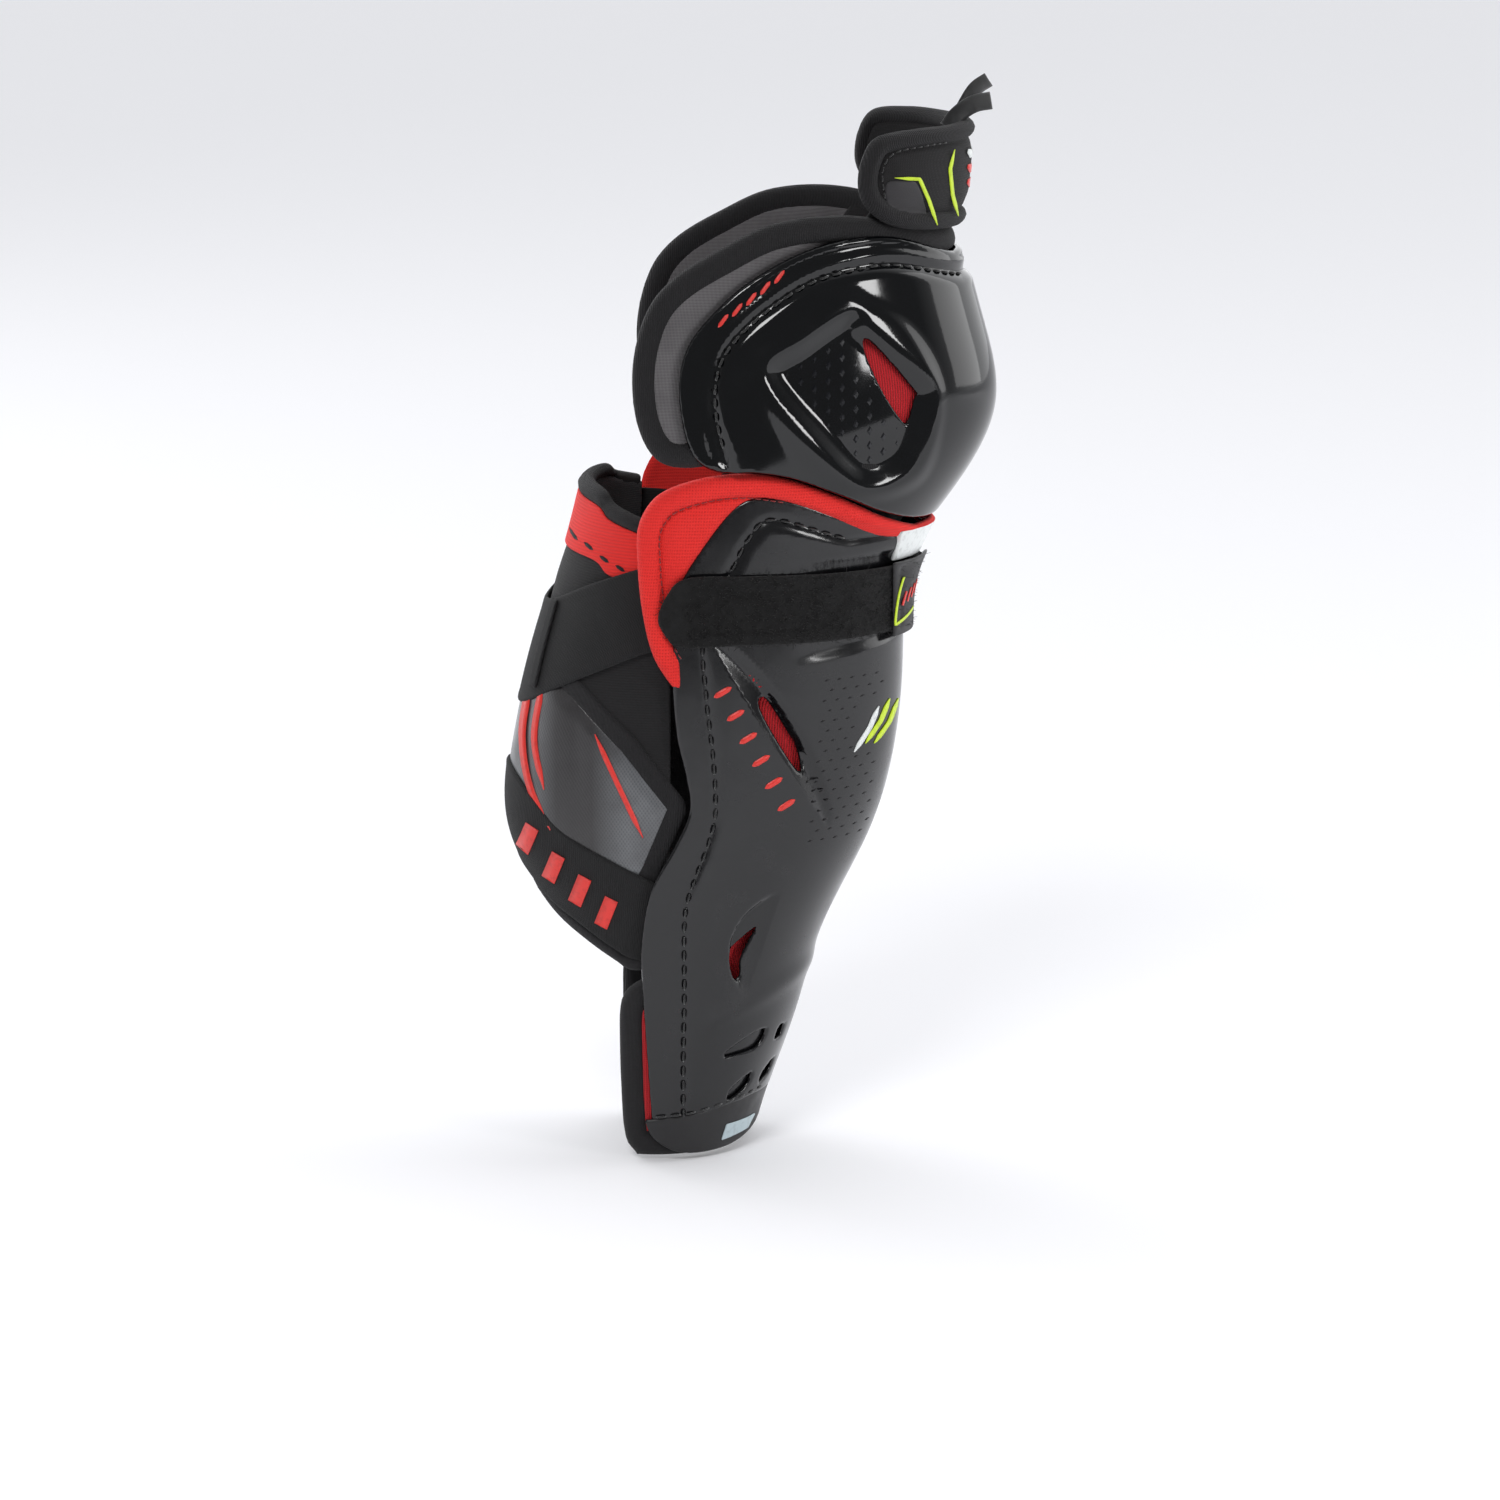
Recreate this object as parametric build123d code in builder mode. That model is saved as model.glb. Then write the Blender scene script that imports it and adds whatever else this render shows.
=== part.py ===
"""Hockey shin guard for the right leg, in wearing position.

Frame, in millimetres: +X points to the toes, +Y to the inner (medial) side of the leg, +Z up.
The origin is at the bottom of the leg channel, on its centre line.

Every soft or hard layer follows one family of egg-shaped horizontal sections: the front half
and the rear half are half ellipses that share their widest line. A layer lies between two
offsets from that family, and its edge is an outline drawn in the side view.
"""
import os
from collections import namedtuple

from build123d import *

os.makedirs("parts", exist_ok=True)

# ---------------------------------------------------------------- driving dimensions
Station = namedtuple("Station", "z front centre half_width rear")

SHIN_STATIONS = [
    Station(-6, 44, 2, 46, -44.5),
    Station(20, 51, 2, 48.5, -46.5),
    Station(60, 65, 3, 52, -48.5),
    Station(97, 76, 4, 55.5, -49.5),
    Station(142, 97.5, 6, 60.5, -68.5),
    Station(183, 109, 8, 63, -68),
    Station(230, 112.5, 9, 65, -57.5),
    Station(260, 115, 10, 66, -48.5),
    Station(285, 126, 12, 67.5, -41.5),
    Station(322, 140, 14, 69, -31.5),
    Station(336, 145, 15, 70, -26),
]
KNEE_STATIONS = [
    Station(276, 118, 12, 70, -80),
    Station(300, 136, 13, 73, -80),
    Station(336, 153, 16, 76, -80),
    Station(372, 148, 18, 75, -80),
    Station(405, 139, 20, 71, -80),
    Station(440, 130, 22, 66, -80),
]
THIGH_STATIONS = [
    Station(410, 138, 58, 62, -20),
    Station(440, 141, 60, 62, -20),
    Station(475, 144, 62, 61, -20),
]

# Layers, as (outer, inner) offsets from the sections.
SHELL = (0, -2.5)
LINER_COVER = (-2.9, -4.4)
LINER_FOAM = (-4.6, -10.9)
LINER_BINDING = (-2.9, -11.4)
WING = (-0.3, -2.3)
PIPING = (2.5, -3.0)
BRIDGE = (-14, -15.5)
STRAP = (-5.0, -6.6)
CALF_FABRIC = (-6.9, -8.6)
CALF_FOAM = (-8.9, -13.2)
KEEPER = (-3.5, -4.7)
SEAM_PANEL = (-5.0, -7.5)
LANDING_STRIP = (2.4, 0.5)
UPPER_TAIL = (4.4, 2.8)
LOOP_PATCH = (1.1, 0.3)
LOWER_TAIL = (2.9, 1.3)
BADGE = (1.2, 0.4)
KNEE_PAD = (-2.9, -5.9)
KNEE_LINER = (-6.2, -10.2)
KNEE_BINDING = (-2.9, -10.8)
KNEE_DONUT = (-10.5, -14.5)
THIGH_BRIDGE = (-12, -13.5)
THIGH_COVER = (-0.5, -2.5)
THIGH_FOAM = (-2.8, -8)
THIGH_BINDING = (0, -8.4)
THIGH_PATCH = (0.6, -0.3)

EDGE_RADIUS = 4           # of the corners of the side outlines
SEAM_GAP = 0.2            # between pieces sewn edge to edge
BINDING_WIDTH = 10.5      # of the edge binding of the shin and knee liners
CALF_BINDING_WIDTH = 8
PIPING_WIDTH = 9.5
TOP_BAND_WIDTH = 22
FAR_FRONT = 190           # side outlines are closed in front of every section
FAR_REAR = -85
SIDE_REACH = 120          # side outlines are cut through this far each way

HINGE_CUT_X = -9.5        # where the calf wrap ends on the inner side
TAB_GAP = 1               # between the upper strap's tail and its free tab
FLAP_BINDING_WIDTH = 9
BADGE_WIDTH = 66
BADGE_HEIGHT = 11
BADGE_Z = 276
DONUT_HEIGHT = 358        # centre of the knee cup ring
DONUT_SIZE = 54
RIBBON_WIDTH = 16
RIBBON_THICKNESS = 1
KEEPER_Y = -24            # loop on the upper strap, at the back of the leg
KEEPER_Z = 232
KEEPER_WIDTH = 7
KEEPER_HEIGHT = 40

# ---------------------------------------------------------------- outlines, side view (x, z)
SHELL_REAR = [(0, 18), (-4, 79), (-4.4, 101), (0, 126), (11, 147), (17.6, 163), (16, 179),
              (11.5, 200), (9.7, 236), (12, 262), (24, 280), (46, 304)]
SHELL_TOP = [(46, 304), (66, 301), (88, 292), (108, 285), (126, 282)]
LINER_REAR = [(-8, 0), (-15, 14), (-16.5, 50), (-15, 71), (-5, 78), (12, 83), (13, 118), (25, 146),
              (32, 162), (31, 176), (26, 198), (23, 236), (24, 262), (34, 280), (50, 296)]
LINER_TOP = [(50, 296), (70, 292), (90, 284), (112, 277)]
WING_REAR = [(9.7, 220), (1, 234), (-4, 255), (-6, 278), (-5, 293), (4, 306), (22, 313), (42, 315),
             (62, 312), (84, 303), (102, 293), (118, 285.5)]
KNEE_RIM = [(136, 406), (110, 416), (88, 416.5), (66, 411), (44, 399.5), (28, 386), (17, 372),
            (13, 356), (14.5, 338), (20, 323), (31, 317)]
KNEE_LOWER_RIM = [(31, 317), (46, 317.5), (64, 314), (85, 305), (103, 296), (119, 289), (134, 288)]
LINER_RIM = [(132, 417), (92, 426), (57, 424), (31, 413), (9, 400), (-3, 385), (-9, 362), (-7, 338),
             (2, 322), (17, 319)]
LINER_LOWER_RIM = [(17, 319), (42, 321), (66, 317), (90, 310), (114, 307)]
FLAP_REAR = [(132, 419), (112, 425), (99, 430), (93.5, 437), (94, 450), (101, 460.5), (118, 463)]
CALF_TOP = [(FAR_REAR, 304), (-34, 304), (-22, 298), (-4, 293), (12, 289)]
CALF_BOTTOM = [(12, 90), (-10, 87), (-20, 91), (-36, 99), (-50, 107), (-66, 121), (FAR_REAR, 134)]
CALF_FREE_EDGE = [(4, 310), (4, 244), (12, 225), (19, 200), (24, 178), (25, 162), (19, 147),
                  (9, 130), (6, 118), (6, 80)]
PLATE_OUTLINE = [(FAR_REAR, 222), (-50, 219), (-38.5, 211), (-14, 189), (8, 163), (-4, 136),
                 (-12, 122), (-30, 122), (-52, 136), (FAR_REAR, 148)]
UPPER_STRAP_TOP = [(14, 276), (-5, 272), (-30, 262), (-50, 250), (-62, 243), (FAR_REAR, 230)]
UPPER_STRAP_BOTTOM = [(FAR_REAR, 190), (-62, 203), (-40, 217), (-5, 233), (14, 236)]
LOWER_STRAP_TOP = [(14, 122), (4, 128), (-18, 138), (-41, 149), (-57, 164), (FAR_REAR, 190)]
LOWER_STRAP_BOTTOM = [(FAR_REAR, 141), (-66, 130), (-50, 115), (-36, 107), (-20, 98), (-8, 93),
                      (14, 93)]
ANKLE_TAB = [(-3.5, 17.6), (1, 10), (13, 3.2), (31, 3), (44, 6), (52, 17.6)]
KNEE_WINDOW = [(95, 373), (118, 348.5), (115.5, 335)]
LOWER_VENT = [(50, 119), (42, 113), (36.5, 99), (38.5, 87), (47, 103)]
UPPER_VENT = [(47, 212), (54, 212), (67, 193), (68.5, 180), (59, 194)]
BRIDGE_OUTLINE = [(26, 262), (FAR_FRONT, 262), (FAR_FRONT, 325), (50, 325), (32, 315)]
SIZE_LABEL = [(24, 7), (39, 8), (41, 15.5), (26, 15.5)]
LANDING_OUTLINE = [(13, 240), (30, 237), (FAR_FRONT, 237), (FAR_FRONT, 268), (20, 270), (8, 262)]
UPPER_TAIL_OUTLINE = [(-8.4, 236), (FAR_FRONT, 236), (FAR_FRONT, 267), (-8.4, 272)]
UPPER_TAB_OUTLINE = [(102, 235), (FAR_FRONT, 235), (FAR_FRONT, 269), (102, 269)]
LOOP_PATCH_OUTLINE = [(38, 92), (68, 90), (68, 122), (38, 124)]
LOWER_TAIL_OUTLINE = [(-8.4, 94), (43.6, 92), (43.6, 122), (-8.4, 126)]
LOWER_TAB_OUTLINE = [(44, 92), (64, 91), (70, 97), (70, 115), (64, 121), (44, 122)]
THIGH_BRIDGE_OUTLINE = [(78, 398), (FAR_FRONT, 394), (FAR_FRONT, 426), (84, 426)]
PATCH_OUTLINE = [(105, 441), (114, 438), (120, 446), (117, 451), (106, 450)]
RIBBON_PATH = [(134, 463.4), (140, 474), (149, 482)]
SEAM_PANEL_OUTLINE = [(-8.4, 90), (8, 90), (10, 118), (21, 146), (27, 162), (26, 176), (21, 200),
                      (17, 236), (17, 262), (21, 276), (8, 284), (-8.4, 286)]


# ---------------------------------------------------------------- shared construction
def egg_outline(station, offset_out):
    """Two half ellipses that share the widest line of the section."""
    centre = (station.centre, 0)
    half_width = station.half_width + offset_out
    front = station.front - station.centre + offset_out
    rear = station.centre - station.rear + offset_out
    EllipticalCenterArc(centre, front, half_width, start_angle=-90, arc_size=180)
    EllipticalCenterArc(centre, rear, half_width, start_angle=90, arc_size=180)


def layer(stations, offsets):
    """Hollow tube between two offsets of the sections."""
    with BuildPart() as tube:
        for offset_out, mode in ((max(offsets), Mode.ADD), (min(offsets), Mode.SUBTRACT)):
            for station in stations:
                with BuildSketch(Plane.XY.offset(station.z)):
                    with BuildLine():
                        egg_outline(station, offset_out)
                    make_face()
            loft(mode=mode)
    return tube.part


def run(points):
    """A straight edge through two points, or a smooth one through more."""
    if len(points) == 2:
        Line(*points)
    else:
        Spline(*points)


def rounded_outline(points, radius):
    """Closed polygon with rounded corners, carried on in front of every section."""
    FilletPolyline(*points, (FAR_FRONT, points[-1][1]), (FAR_FRONT, points[0][1]),
                   radius=radius, close=True)


def shifted(points, dx, dz):
    """The same points, moved in the side view."""
    return [(x + dx, z + dz) for x, z in points]


def keep_side(side):
    """Keep the outer (side = -1) or the inner (side = 1) half of a piece."""
    with Locations((0, side * SIDE_REACH / 2, 240)):
        Box(500, SIDE_REACH, 700, mode=Mode.INTERSECT)


def cut_in_front(x, side):
    """Remove what lies in front of x on one side of the leg."""
    with Locations((x + 150, side * SIDE_REACH / 2, 240)):
        Box(300, SIDE_REACH, 700, mode=Mode.SUBTRACT)


SIDES = (("outer", -1), ("inner", 1))

# ---------------------------------------------------------------- shin shell and ankle tabs
with BuildSketch(Plane.XZ) as shell_area:
    with BuildLine():
        rounded_outline(SHELL_REAR + SHELL_TOP[1:], EDGE_RADIUS)
    make_face()

with BuildSketch(Plane.XZ) as shell_clearance:
    add(shell_area.sketch)
    offset(amount=SEAM_GAP)

with BuildSketch(Plane.XZ) as vent_area:
    for vent in (LOWER_VENT, UPPER_VENT):
        with BuildLine():
            Spline(*vent, periodic=True)
        make_face()

with BuildPart() as shin_shell:
    add(layer(SHIN_STATIONS, SHELL))
    extrude(shell_area.sketch, amount=SIDE_REACH, both=True, mode=Mode.INTERSECT)
    extrude(vent_area.sketch, amount=SIDE_REACH, both=True, mode=Mode.SUBTRACT)
shin_shell.part.label = "shin_shell"
export_step(shin_shell.part, "parts/shin_shell.step")

for side_name, side in SIDES:
    with BuildPart() as ankle_tab:
        add(layer(SHIN_STATIONS, SHELL))
        with BuildSketch(Plane.XZ):
            with BuildLine():
                run(ANKLE_TAB)
                Line(ANKLE_TAB[-1], ANKLE_TAB[0])
            make_face()
        extrude(amount=SIDE_REACH, both=True, mode=Mode.INTERSECT)
        keep_side(side)
    ankle_tab.part.label = "ankle_tab_" + side_name
    export_step(ankle_tab.part, "parts/ankle_tab_" + side_name + ".step")

# ---------------------------------------------------------------- shin liner
with BuildSketch(Plane.XZ) as liner_area:
    with BuildLine():
        rounded_outline(LINER_REAR + LINER_TOP[1:], EDGE_RADIUS)
    make_face()

with BuildSketch(Plane.XZ) as liner_inside:
    add(liner_area.sketch)
    offset(amount=-BINDING_WIDTH - SEAM_GAP, mode=Mode.REPLACE)

with BuildSketch(Plane.XZ) as liner_edge:
    add(liner_area.sketch)
    offset(amount=-BINDING_WIDTH, mode=Mode.SUBTRACT)

for name, offsets, area in (("shin_liner_cover", LINER_COVER, liner_inside),
                            ("shin_foam", LINER_FOAM, liner_inside),
                            ("liner_binding", LINER_BINDING, liner_edge)):
    with BuildPart() as liner_piece:
        add(layer(SHIN_STATIONS, offsets))
        extrude(area.sketch, amount=SIDE_REACH, both=True, mode=Mode.INTERSECT)
    liner_piece.part.label = name
    export_step(liner_piece.part, "parts/" + name + ".step")

# ---------------------------------------------------------------- wings and their piping
with BuildSketch(Plane.XZ) as wing_area:
    with BuildLine():
        rounded_outline(WING_REAR, EDGE_RADIUS)
    make_face()

with BuildSketch(Plane.XZ) as piping_area:
    add(wing_area.sketch)
    offset(amount=-PIPING_WIDTH, mode=Mode.SUBTRACT)
    add(shell_clearance.sketch, mode=Mode.SUBTRACT)

with BuildSketch(Plane.XZ) as wing_panel_area:
    add(wing_area.sketch)
    offset(amount=-PIPING_WIDTH - SEAM_GAP, mode=Mode.REPLACE)
    add(shell_clearance.sketch, mode=Mode.SUBTRACT)

with BuildPart() as wing_piping:
    add(layer(SHIN_STATIONS, PIPING))
    extrude(piping_area.sketch, amount=SIDE_REACH, both=True, mode=Mode.INTERSECT)
wing_piping.part.label = "wing_piping"
export_step(wing_piping.part, "parts/wing_piping.step")

for side_name, side in SIDES:
    with BuildPart() as wing:
        add(layer(SHIN_STATIONS, WING))
        extrude(wing_panel_area.sketch, amount=SIDE_REACH, both=True, mode=Mode.INTERSECT)
        keep_side(side)
    wing.part.label = "wing_" + side_name
    export_step(wing.part, "parts/wing_" + side_name + ".step")

# ---------------------------------------------------------------- knee bridge fabric
with BuildPart() as knee_bridge:
    add(layer(SHIN_STATIONS, BRIDGE))
    with BuildSketch(Plane.XZ):
        with BuildLine():
            Polyline(*BRIDGE_OUTLINE, close=True)
        make_face()
    extrude(amount=SIDE_REACH, both=True, mode=Mode.INTERSECT)
knee_bridge.part.label = "knee_bridge"
export_step(knee_bridge.part, "parts/knee_bridge.step")

# ---------------------------------------------------------------- badge and size label on the shell
with BuildPart() as top_badge:
    add(layer(SHIN_STATIONS, BADGE))
    with BuildSketch(Plane.YZ):
        with Locations((0, BADGE_Z)):
            RectangleRounded(BADGE_WIDTH, BADGE_HEIGHT, 3)
    extrude(amount=FAR_FRONT, mode=Mode.INTERSECT)
top_badge.part.label = "top_badge"
export_step(top_badge.part, "parts/top_badge.step")

with BuildPart() as size_label:
    add(layer(SHIN_STATIONS, BADGE))
    with BuildSketch(Plane.XZ):
        with BuildLine():
            Polyline(*SIZE_LABEL, close=True)
        make_face()
    extrude(amount=SIDE_REACH, mode=Mode.INTERSECT)
size_label.part.label = "size_label"
export_step(size_label.part, "parts/size_label.step")

# ---------------------------------------------------------------- landing strip, strap tails, tabs
with BuildPart() as landing_strip:
    add(layer(SHIN_STATIONS, LANDING_STRIP))
    with BuildSketch(Plane.XZ):
        with BuildLine():
            Polyline(*LANDING_OUTLINE, close=True)
        make_face()
    extrude(amount=SIDE_REACH, mode=Mode.INTERSECT)
landing_strip.part.label = "landing_strip"
export_step(landing_strip.part, "parts/landing_strip.step")

with BuildPart() as upper_strap_tail:
    add(layer(SHIN_STATIONS, UPPER_TAIL))
    with BuildSketch(Plane.XZ):
        with BuildLine():
            Polyline(*UPPER_TAIL_OUTLINE, close=True)
        make_face()
    extrude(amount=-SIDE_REACH, mode=Mode.INTERSECT)
upper_strap_tail.part.label = "upper_strap_tail"
export_step(upper_strap_tail.part, "parts/upper_strap_tail.step")

with BuildPart() as upper_tab:
    add(layer(SHIN_STATIONS, UPPER_TAIL))
    with BuildSketch(Plane.XZ):
        with BuildLine():
            Polyline(*UPPER_TAB_OUTLINE, close=True)
        make_face()
    extrude(amount=SIDE_REACH, mode=Mode.INTERSECT)
    with Locations((0, 0, 250)):
        Box(400, 2 * TAB_GAP, 200, mode=Mode.SUBTRACT)
upper_tab.part.label = "upper_tab"
export_step(upper_tab.part, "parts/upper_tab.step")

for name, offsets, outline in (("inner_loop_patch", LOOP_PATCH, LOOP_PATCH_OUTLINE),
                               ("lower_strap_tail", LOWER_TAIL, LOWER_TAIL_OUTLINE),
                               ("lower_tab", LOWER_TAIL, LOWER_TAB_OUTLINE)):
    with BuildPart() as inner_piece:
        add(layer(SHIN_STATIONS, offsets))
        with BuildSketch(Plane.XZ):
            with BuildLine():
                Polyline(*outline, close=True)
            make_face()
        extrude(amount=-SIDE_REACH, mode=Mode.INTERSECT)
    inner_piece.part.label = name
    export_step(inner_piece.part, "parts/" + name + ".step")

# ---------------------------------------------------------------- knee cap
with BuildSketch(Plane.XZ) as knee_area:
    with BuildLine():
        rounded_outline(KNEE_RIM + KNEE_LOWER_RIM[1:], EDGE_RADIUS)
    make_face()

with BuildSketch(Plane.XZ) as knee_liner_area:
    with BuildLine():
        rounded_outline(LINER_RIM + LINER_LOWER_RIM[1:], EDGE_RADIUS)
    make_face()

with BuildSketch(Plane.XZ) as knee_inside:
    add(knee_liner_area.sketch)
    offset(amount=-BINDING_WIDTH - SEAM_GAP, mode=Mode.REPLACE)

with BuildSketch(Plane.XZ) as knee_edge:
    add(knee_liner_area.sketch)
    offset(amount=-BINDING_WIDTH, mode=Mode.SUBTRACT)

for name, offsets, area in (("knee_pad", KNEE_PAD, knee_inside),
                            ("knee_liner", KNEE_LINER, knee_inside),
                            ("knee_binding", KNEE_BINDING, knee_edge)):
    with BuildPart() as knee_piece:
        add(layer(KNEE_STATIONS, offsets))
        extrude(area.sketch, amount=SIDE_REACH, both=True, mode=Mode.INTERSECT)
    knee_piece.part.label = name
    export_step(knee_piece.part, "parts/" + name + ".step")

with BuildPart() as knee_shell:
    add(layer(KNEE_STATIONS, SHELL))
    extrude(knee_area.sketch, amount=SIDE_REACH, both=True, mode=Mode.INTERSECT)
    with BuildSketch(Plane.XZ):
        with BuildLine():
            Polyline(*KNEE_WINDOW, close=True)
        make_face()
    extrude(amount=SIDE_REACH, both=True, mode=Mode.SUBTRACT)
knee_shell.part.label = "knee_shell"
export_step(knee_shell.part, "parts/knee_shell.step")

with BuildPart() as knee_donut:
    add(layer(KNEE_STATIONS, KNEE_DONUT))
    with BuildSketch(Plane.YZ):
        with Locations((0, DONUT_HEIGHT)):
            Ellipse(DONUT_SIZE / 2 + 4, DONUT_SIZE / 2)
            Ellipse(DONUT_SIZE / 2 - 9, DONUT_SIZE / 2 - 13, mode=Mode.SUBTRACT)
    extrude(amount=FAR_FRONT, mode=Mode.INTERSECT)
knee_donut.part.label = "knee_donut"
export_step(knee_donut.part, "parts/knee_donut.step")

with BuildPart() as thigh_bridge:
    add(layer(KNEE_STATIONS, THIGH_BRIDGE))
    with BuildSketch(Plane.XZ):
        with BuildLine():
            Polyline(*THIGH_BRIDGE_OUTLINE, close=True)
        make_face()
    extrude(amount=SIDE_REACH, both=True, mode=Mode.INTERSECT)
thigh_bridge.part.label = "thigh_bridge"
export_step(thigh_bridge.part, "parts/thigh_bridge.step")

# ---------------------------------------------------------------- thigh flap
with BuildSketch(Plane.XZ) as flap_area:
    with BuildLine():
        rounded_outline(FLAP_REAR, EDGE_RADIUS)
    make_face()

with BuildSketch(Plane.XZ) as flap_inside:
    add(flap_area.sketch)
    offset(amount=-FLAP_BINDING_WIDTH - SEAM_GAP, mode=Mode.REPLACE)

with BuildSketch(Plane.XZ) as flap_edge:
    add(flap_area.sketch)
    offset(amount=-FLAP_BINDING_WIDTH, mode=Mode.SUBTRACT)

for name, offsets, area in (("thigh_cover", THIGH_COVER, flap_inside),
                            ("thigh_foam", THIGH_FOAM, flap_inside),
                            ("thigh_binding", THIGH_BINDING, flap_edge)):
    with BuildPart() as flap_piece:
        add(layer(THIGH_STATIONS, offsets))
        extrude(area.sketch, amount=SIDE_REACH, both=True, mode=Mode.INTERSECT)
    flap_piece.part.label = name
    export_step(flap_piece.part, "parts/" + name + ".step")

for side_name, side in SIDES:
    with BuildPart() as thigh_patch:
        add(layer(THIGH_STATIONS, THIGH_PATCH))
        with BuildSketch(Plane.XZ):
            with BuildLine():
                Polyline(*PATCH_OUTLINE, close=True)
            make_face()
        extrude(amount=SIDE_REACH, both=True, mode=Mode.INTERSECT)
        keep_side(side)
    thigh_patch.part.label = "thigh_patch_" + side_name
    export_step(thigh_patch.part, "parts/thigh_patch_" + side_name + ".step")

with BuildPart() as pull_ribbon:
    with BuildSketch(Plane.XZ):
        with BuildLine():
            ribbon_path = Polyline(*RIBBON_PATH)
            offset(ribbon_path, amount=RIBBON_THICKNESS, side=Side.LEFT)
        make_face()
    extrude(amount=RIBBON_WIDTH / 2, both=True)
pull_ribbon.part.label = "pull_ribbon"
export_step(pull_ribbon.part, "parts/pull_ribbon.step")

# ---------------------------------------------------------------- calf wrap
with BuildSketch(Plane.XZ) as calf_area:
    with BuildLine():
        Polyline(*CALF_TOP, *CALF_BOTTOM, close=True)
    make_face()

with BuildSketch(Plane.XZ) as free_edge_area:
    with BuildLine():
        run(CALF_FREE_EDGE)
        Polyline(CALF_FREE_EDGE[-1], (FAR_FRONT, 60), (FAR_FRONT, 330), CALF_FREE_EDGE[0])
    make_face()


def edge_band(points, start, width):
    """Area of a band that follows an edge, from start to start + width below or above it."""
    near = shifted(points, 0, start)
    far = shifted(points, 0, start + width)
    run(near)
    Line(near[-1], far[-1])
    run(far)
    Line(far[0], near[0])


band_areas = {}
for name, edge, start, width in (
        ("calf_top_binding", CALF_TOP, 0, -CALF_BINDING_WIDTH),
        ("calf_top_band", CALF_TOP, -CALF_BINDING_WIDTH - SEAM_GAP, -TOP_BAND_WIDTH),
        ("calf_bottom_binding", CALF_BOTTOM, 0, CALF_BINDING_WIDTH)):
    with BuildSketch(Plane.XZ) as band_area:
        with BuildLine():
            edge_band(edge, start, width)
        make_face()
    band_areas[name] = band_area.sketch

with BuildSketch(Plane.XZ) as plate_area:
    with BuildLine():
        Polyline(*PLATE_OUTLINE, close=True)
    make_face()

with BuildSketch(Plane.XZ) as plate_edge_area:
    add(plate_area.sketch)
    offset(amount=CALF_BINDING_WIDTH, mode=Mode.REPLACE)
    with BuildSketch(mode=Mode.PRIVATE) as plate_clearance:
        add(plate_area.sketch)
        offset(amount=SEAM_GAP, mode=Mode.REPLACE)
    add(plate_clearance.sketch, mode=Mode.SUBTRACT)

with BuildSketch(Plane.XZ) as fabric_area:
    with BuildLine():
        top = shifted(CALF_TOP, 0, -CALF_BINDING_WIDTH - TOP_BAND_WIDTH - 2 * SEAM_GAP)
        bottom = shifted(CALF_BOTTOM, 0, CALF_BINDING_WIDTH + SEAM_GAP)
        run(top)
        Line(top[-1], bottom[0])
        run(bottom)
        Line(bottom[-1], top[0])
    make_face()
    with BuildSketch(mode=Mode.PRIVATE) as plate_and_binding:
        add(plate_area.sketch)
        offset(amount=CALF_BINDING_WIDTH + SEAM_GAP, mode=Mode.REPLACE)
    add(plate_and_binding.sketch, mode=Mode.SUBTRACT)

with BuildSketch(Plane.XZ) as calf_foam_area:
    add(calf_area.sketch)
    offset(amount=-3, mode=Mode.REPLACE)

with BuildSketch(Plane.XZ) as upper_strap_area:
    with BuildLine():
        run(UPPER_STRAP_TOP)
        Line(UPPER_STRAP_TOP[-1], UPPER_STRAP_BOTTOM[0])
        run(UPPER_STRAP_BOTTOM)
        Line(UPPER_STRAP_BOTTOM[-1], UPPER_STRAP_TOP[0])
    make_face()

with BuildSketch(Plane.XZ) as lower_strap_area:
    with BuildLine():
        run(LOWER_STRAP_TOP)
        Line(LOWER_STRAP_TOP[-1], LOWER_STRAP_BOTTOM[0])
        run(LOWER_STRAP_BOTTOM)
        Line(LOWER_STRAP_BOTTOM[-1], LOWER_STRAP_TOP[0])
    make_face()

for name, offsets, area in (
        ("calf_plate", CALF_FABRIC, plate_area.sketch),
        ("calf_plate_binding", CALF_FABRIC, plate_edge_area.sketch),
        ("calf_fabric", CALF_FABRIC, fabric_area.sketch),
        ("calf_top_band", CALF_FABRIC, band_areas["calf_top_band"]),
        ("calf_top_binding", CALF_FABRIC, band_areas["calf_top_binding"]),
        ("calf_bottom_binding", CALF_FABRIC, band_areas["calf_bottom_binding"]),
        ("calf_foam", CALF_FOAM, calf_foam_area.sketch),
        ("upper_strap", STRAP, upper_strap_area.sketch),
        ("lower_strap", STRAP, lower_strap_area.sketch)):
    with BuildPart() as calf_piece:
        add(layer(SHIN_STATIONS, offsets))
        extrude(area, amount=SIDE_REACH, both=True, mode=Mode.INTERSECT)
        extrude(free_edge_area.sketch, amount=SIDE_REACH, both=True, mode=Mode.SUBTRACT)
        cut_in_front(HINGE_CUT_X, 1)
    calf_piece.part.label = name
    export_step(calf_piece.part, "parts/" + name + ".step")

with BuildPart() as strap_keeper:
    add(layer(SHIN_STATIONS, KEEPER))
    with BuildSketch(Plane.YZ):
        with Locations((KEEPER_Y, KEEPER_Z)):
            Rectangle(KEEPER_WIDTH, KEEPER_HEIGHT)
    extrude(amount=-FAR_FRONT, mode=Mode.INTERSECT)
strap_keeper.part.label = "strap_keeper"
export_step(strap_keeper.part, "parts/strap_keeper.step")

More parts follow.
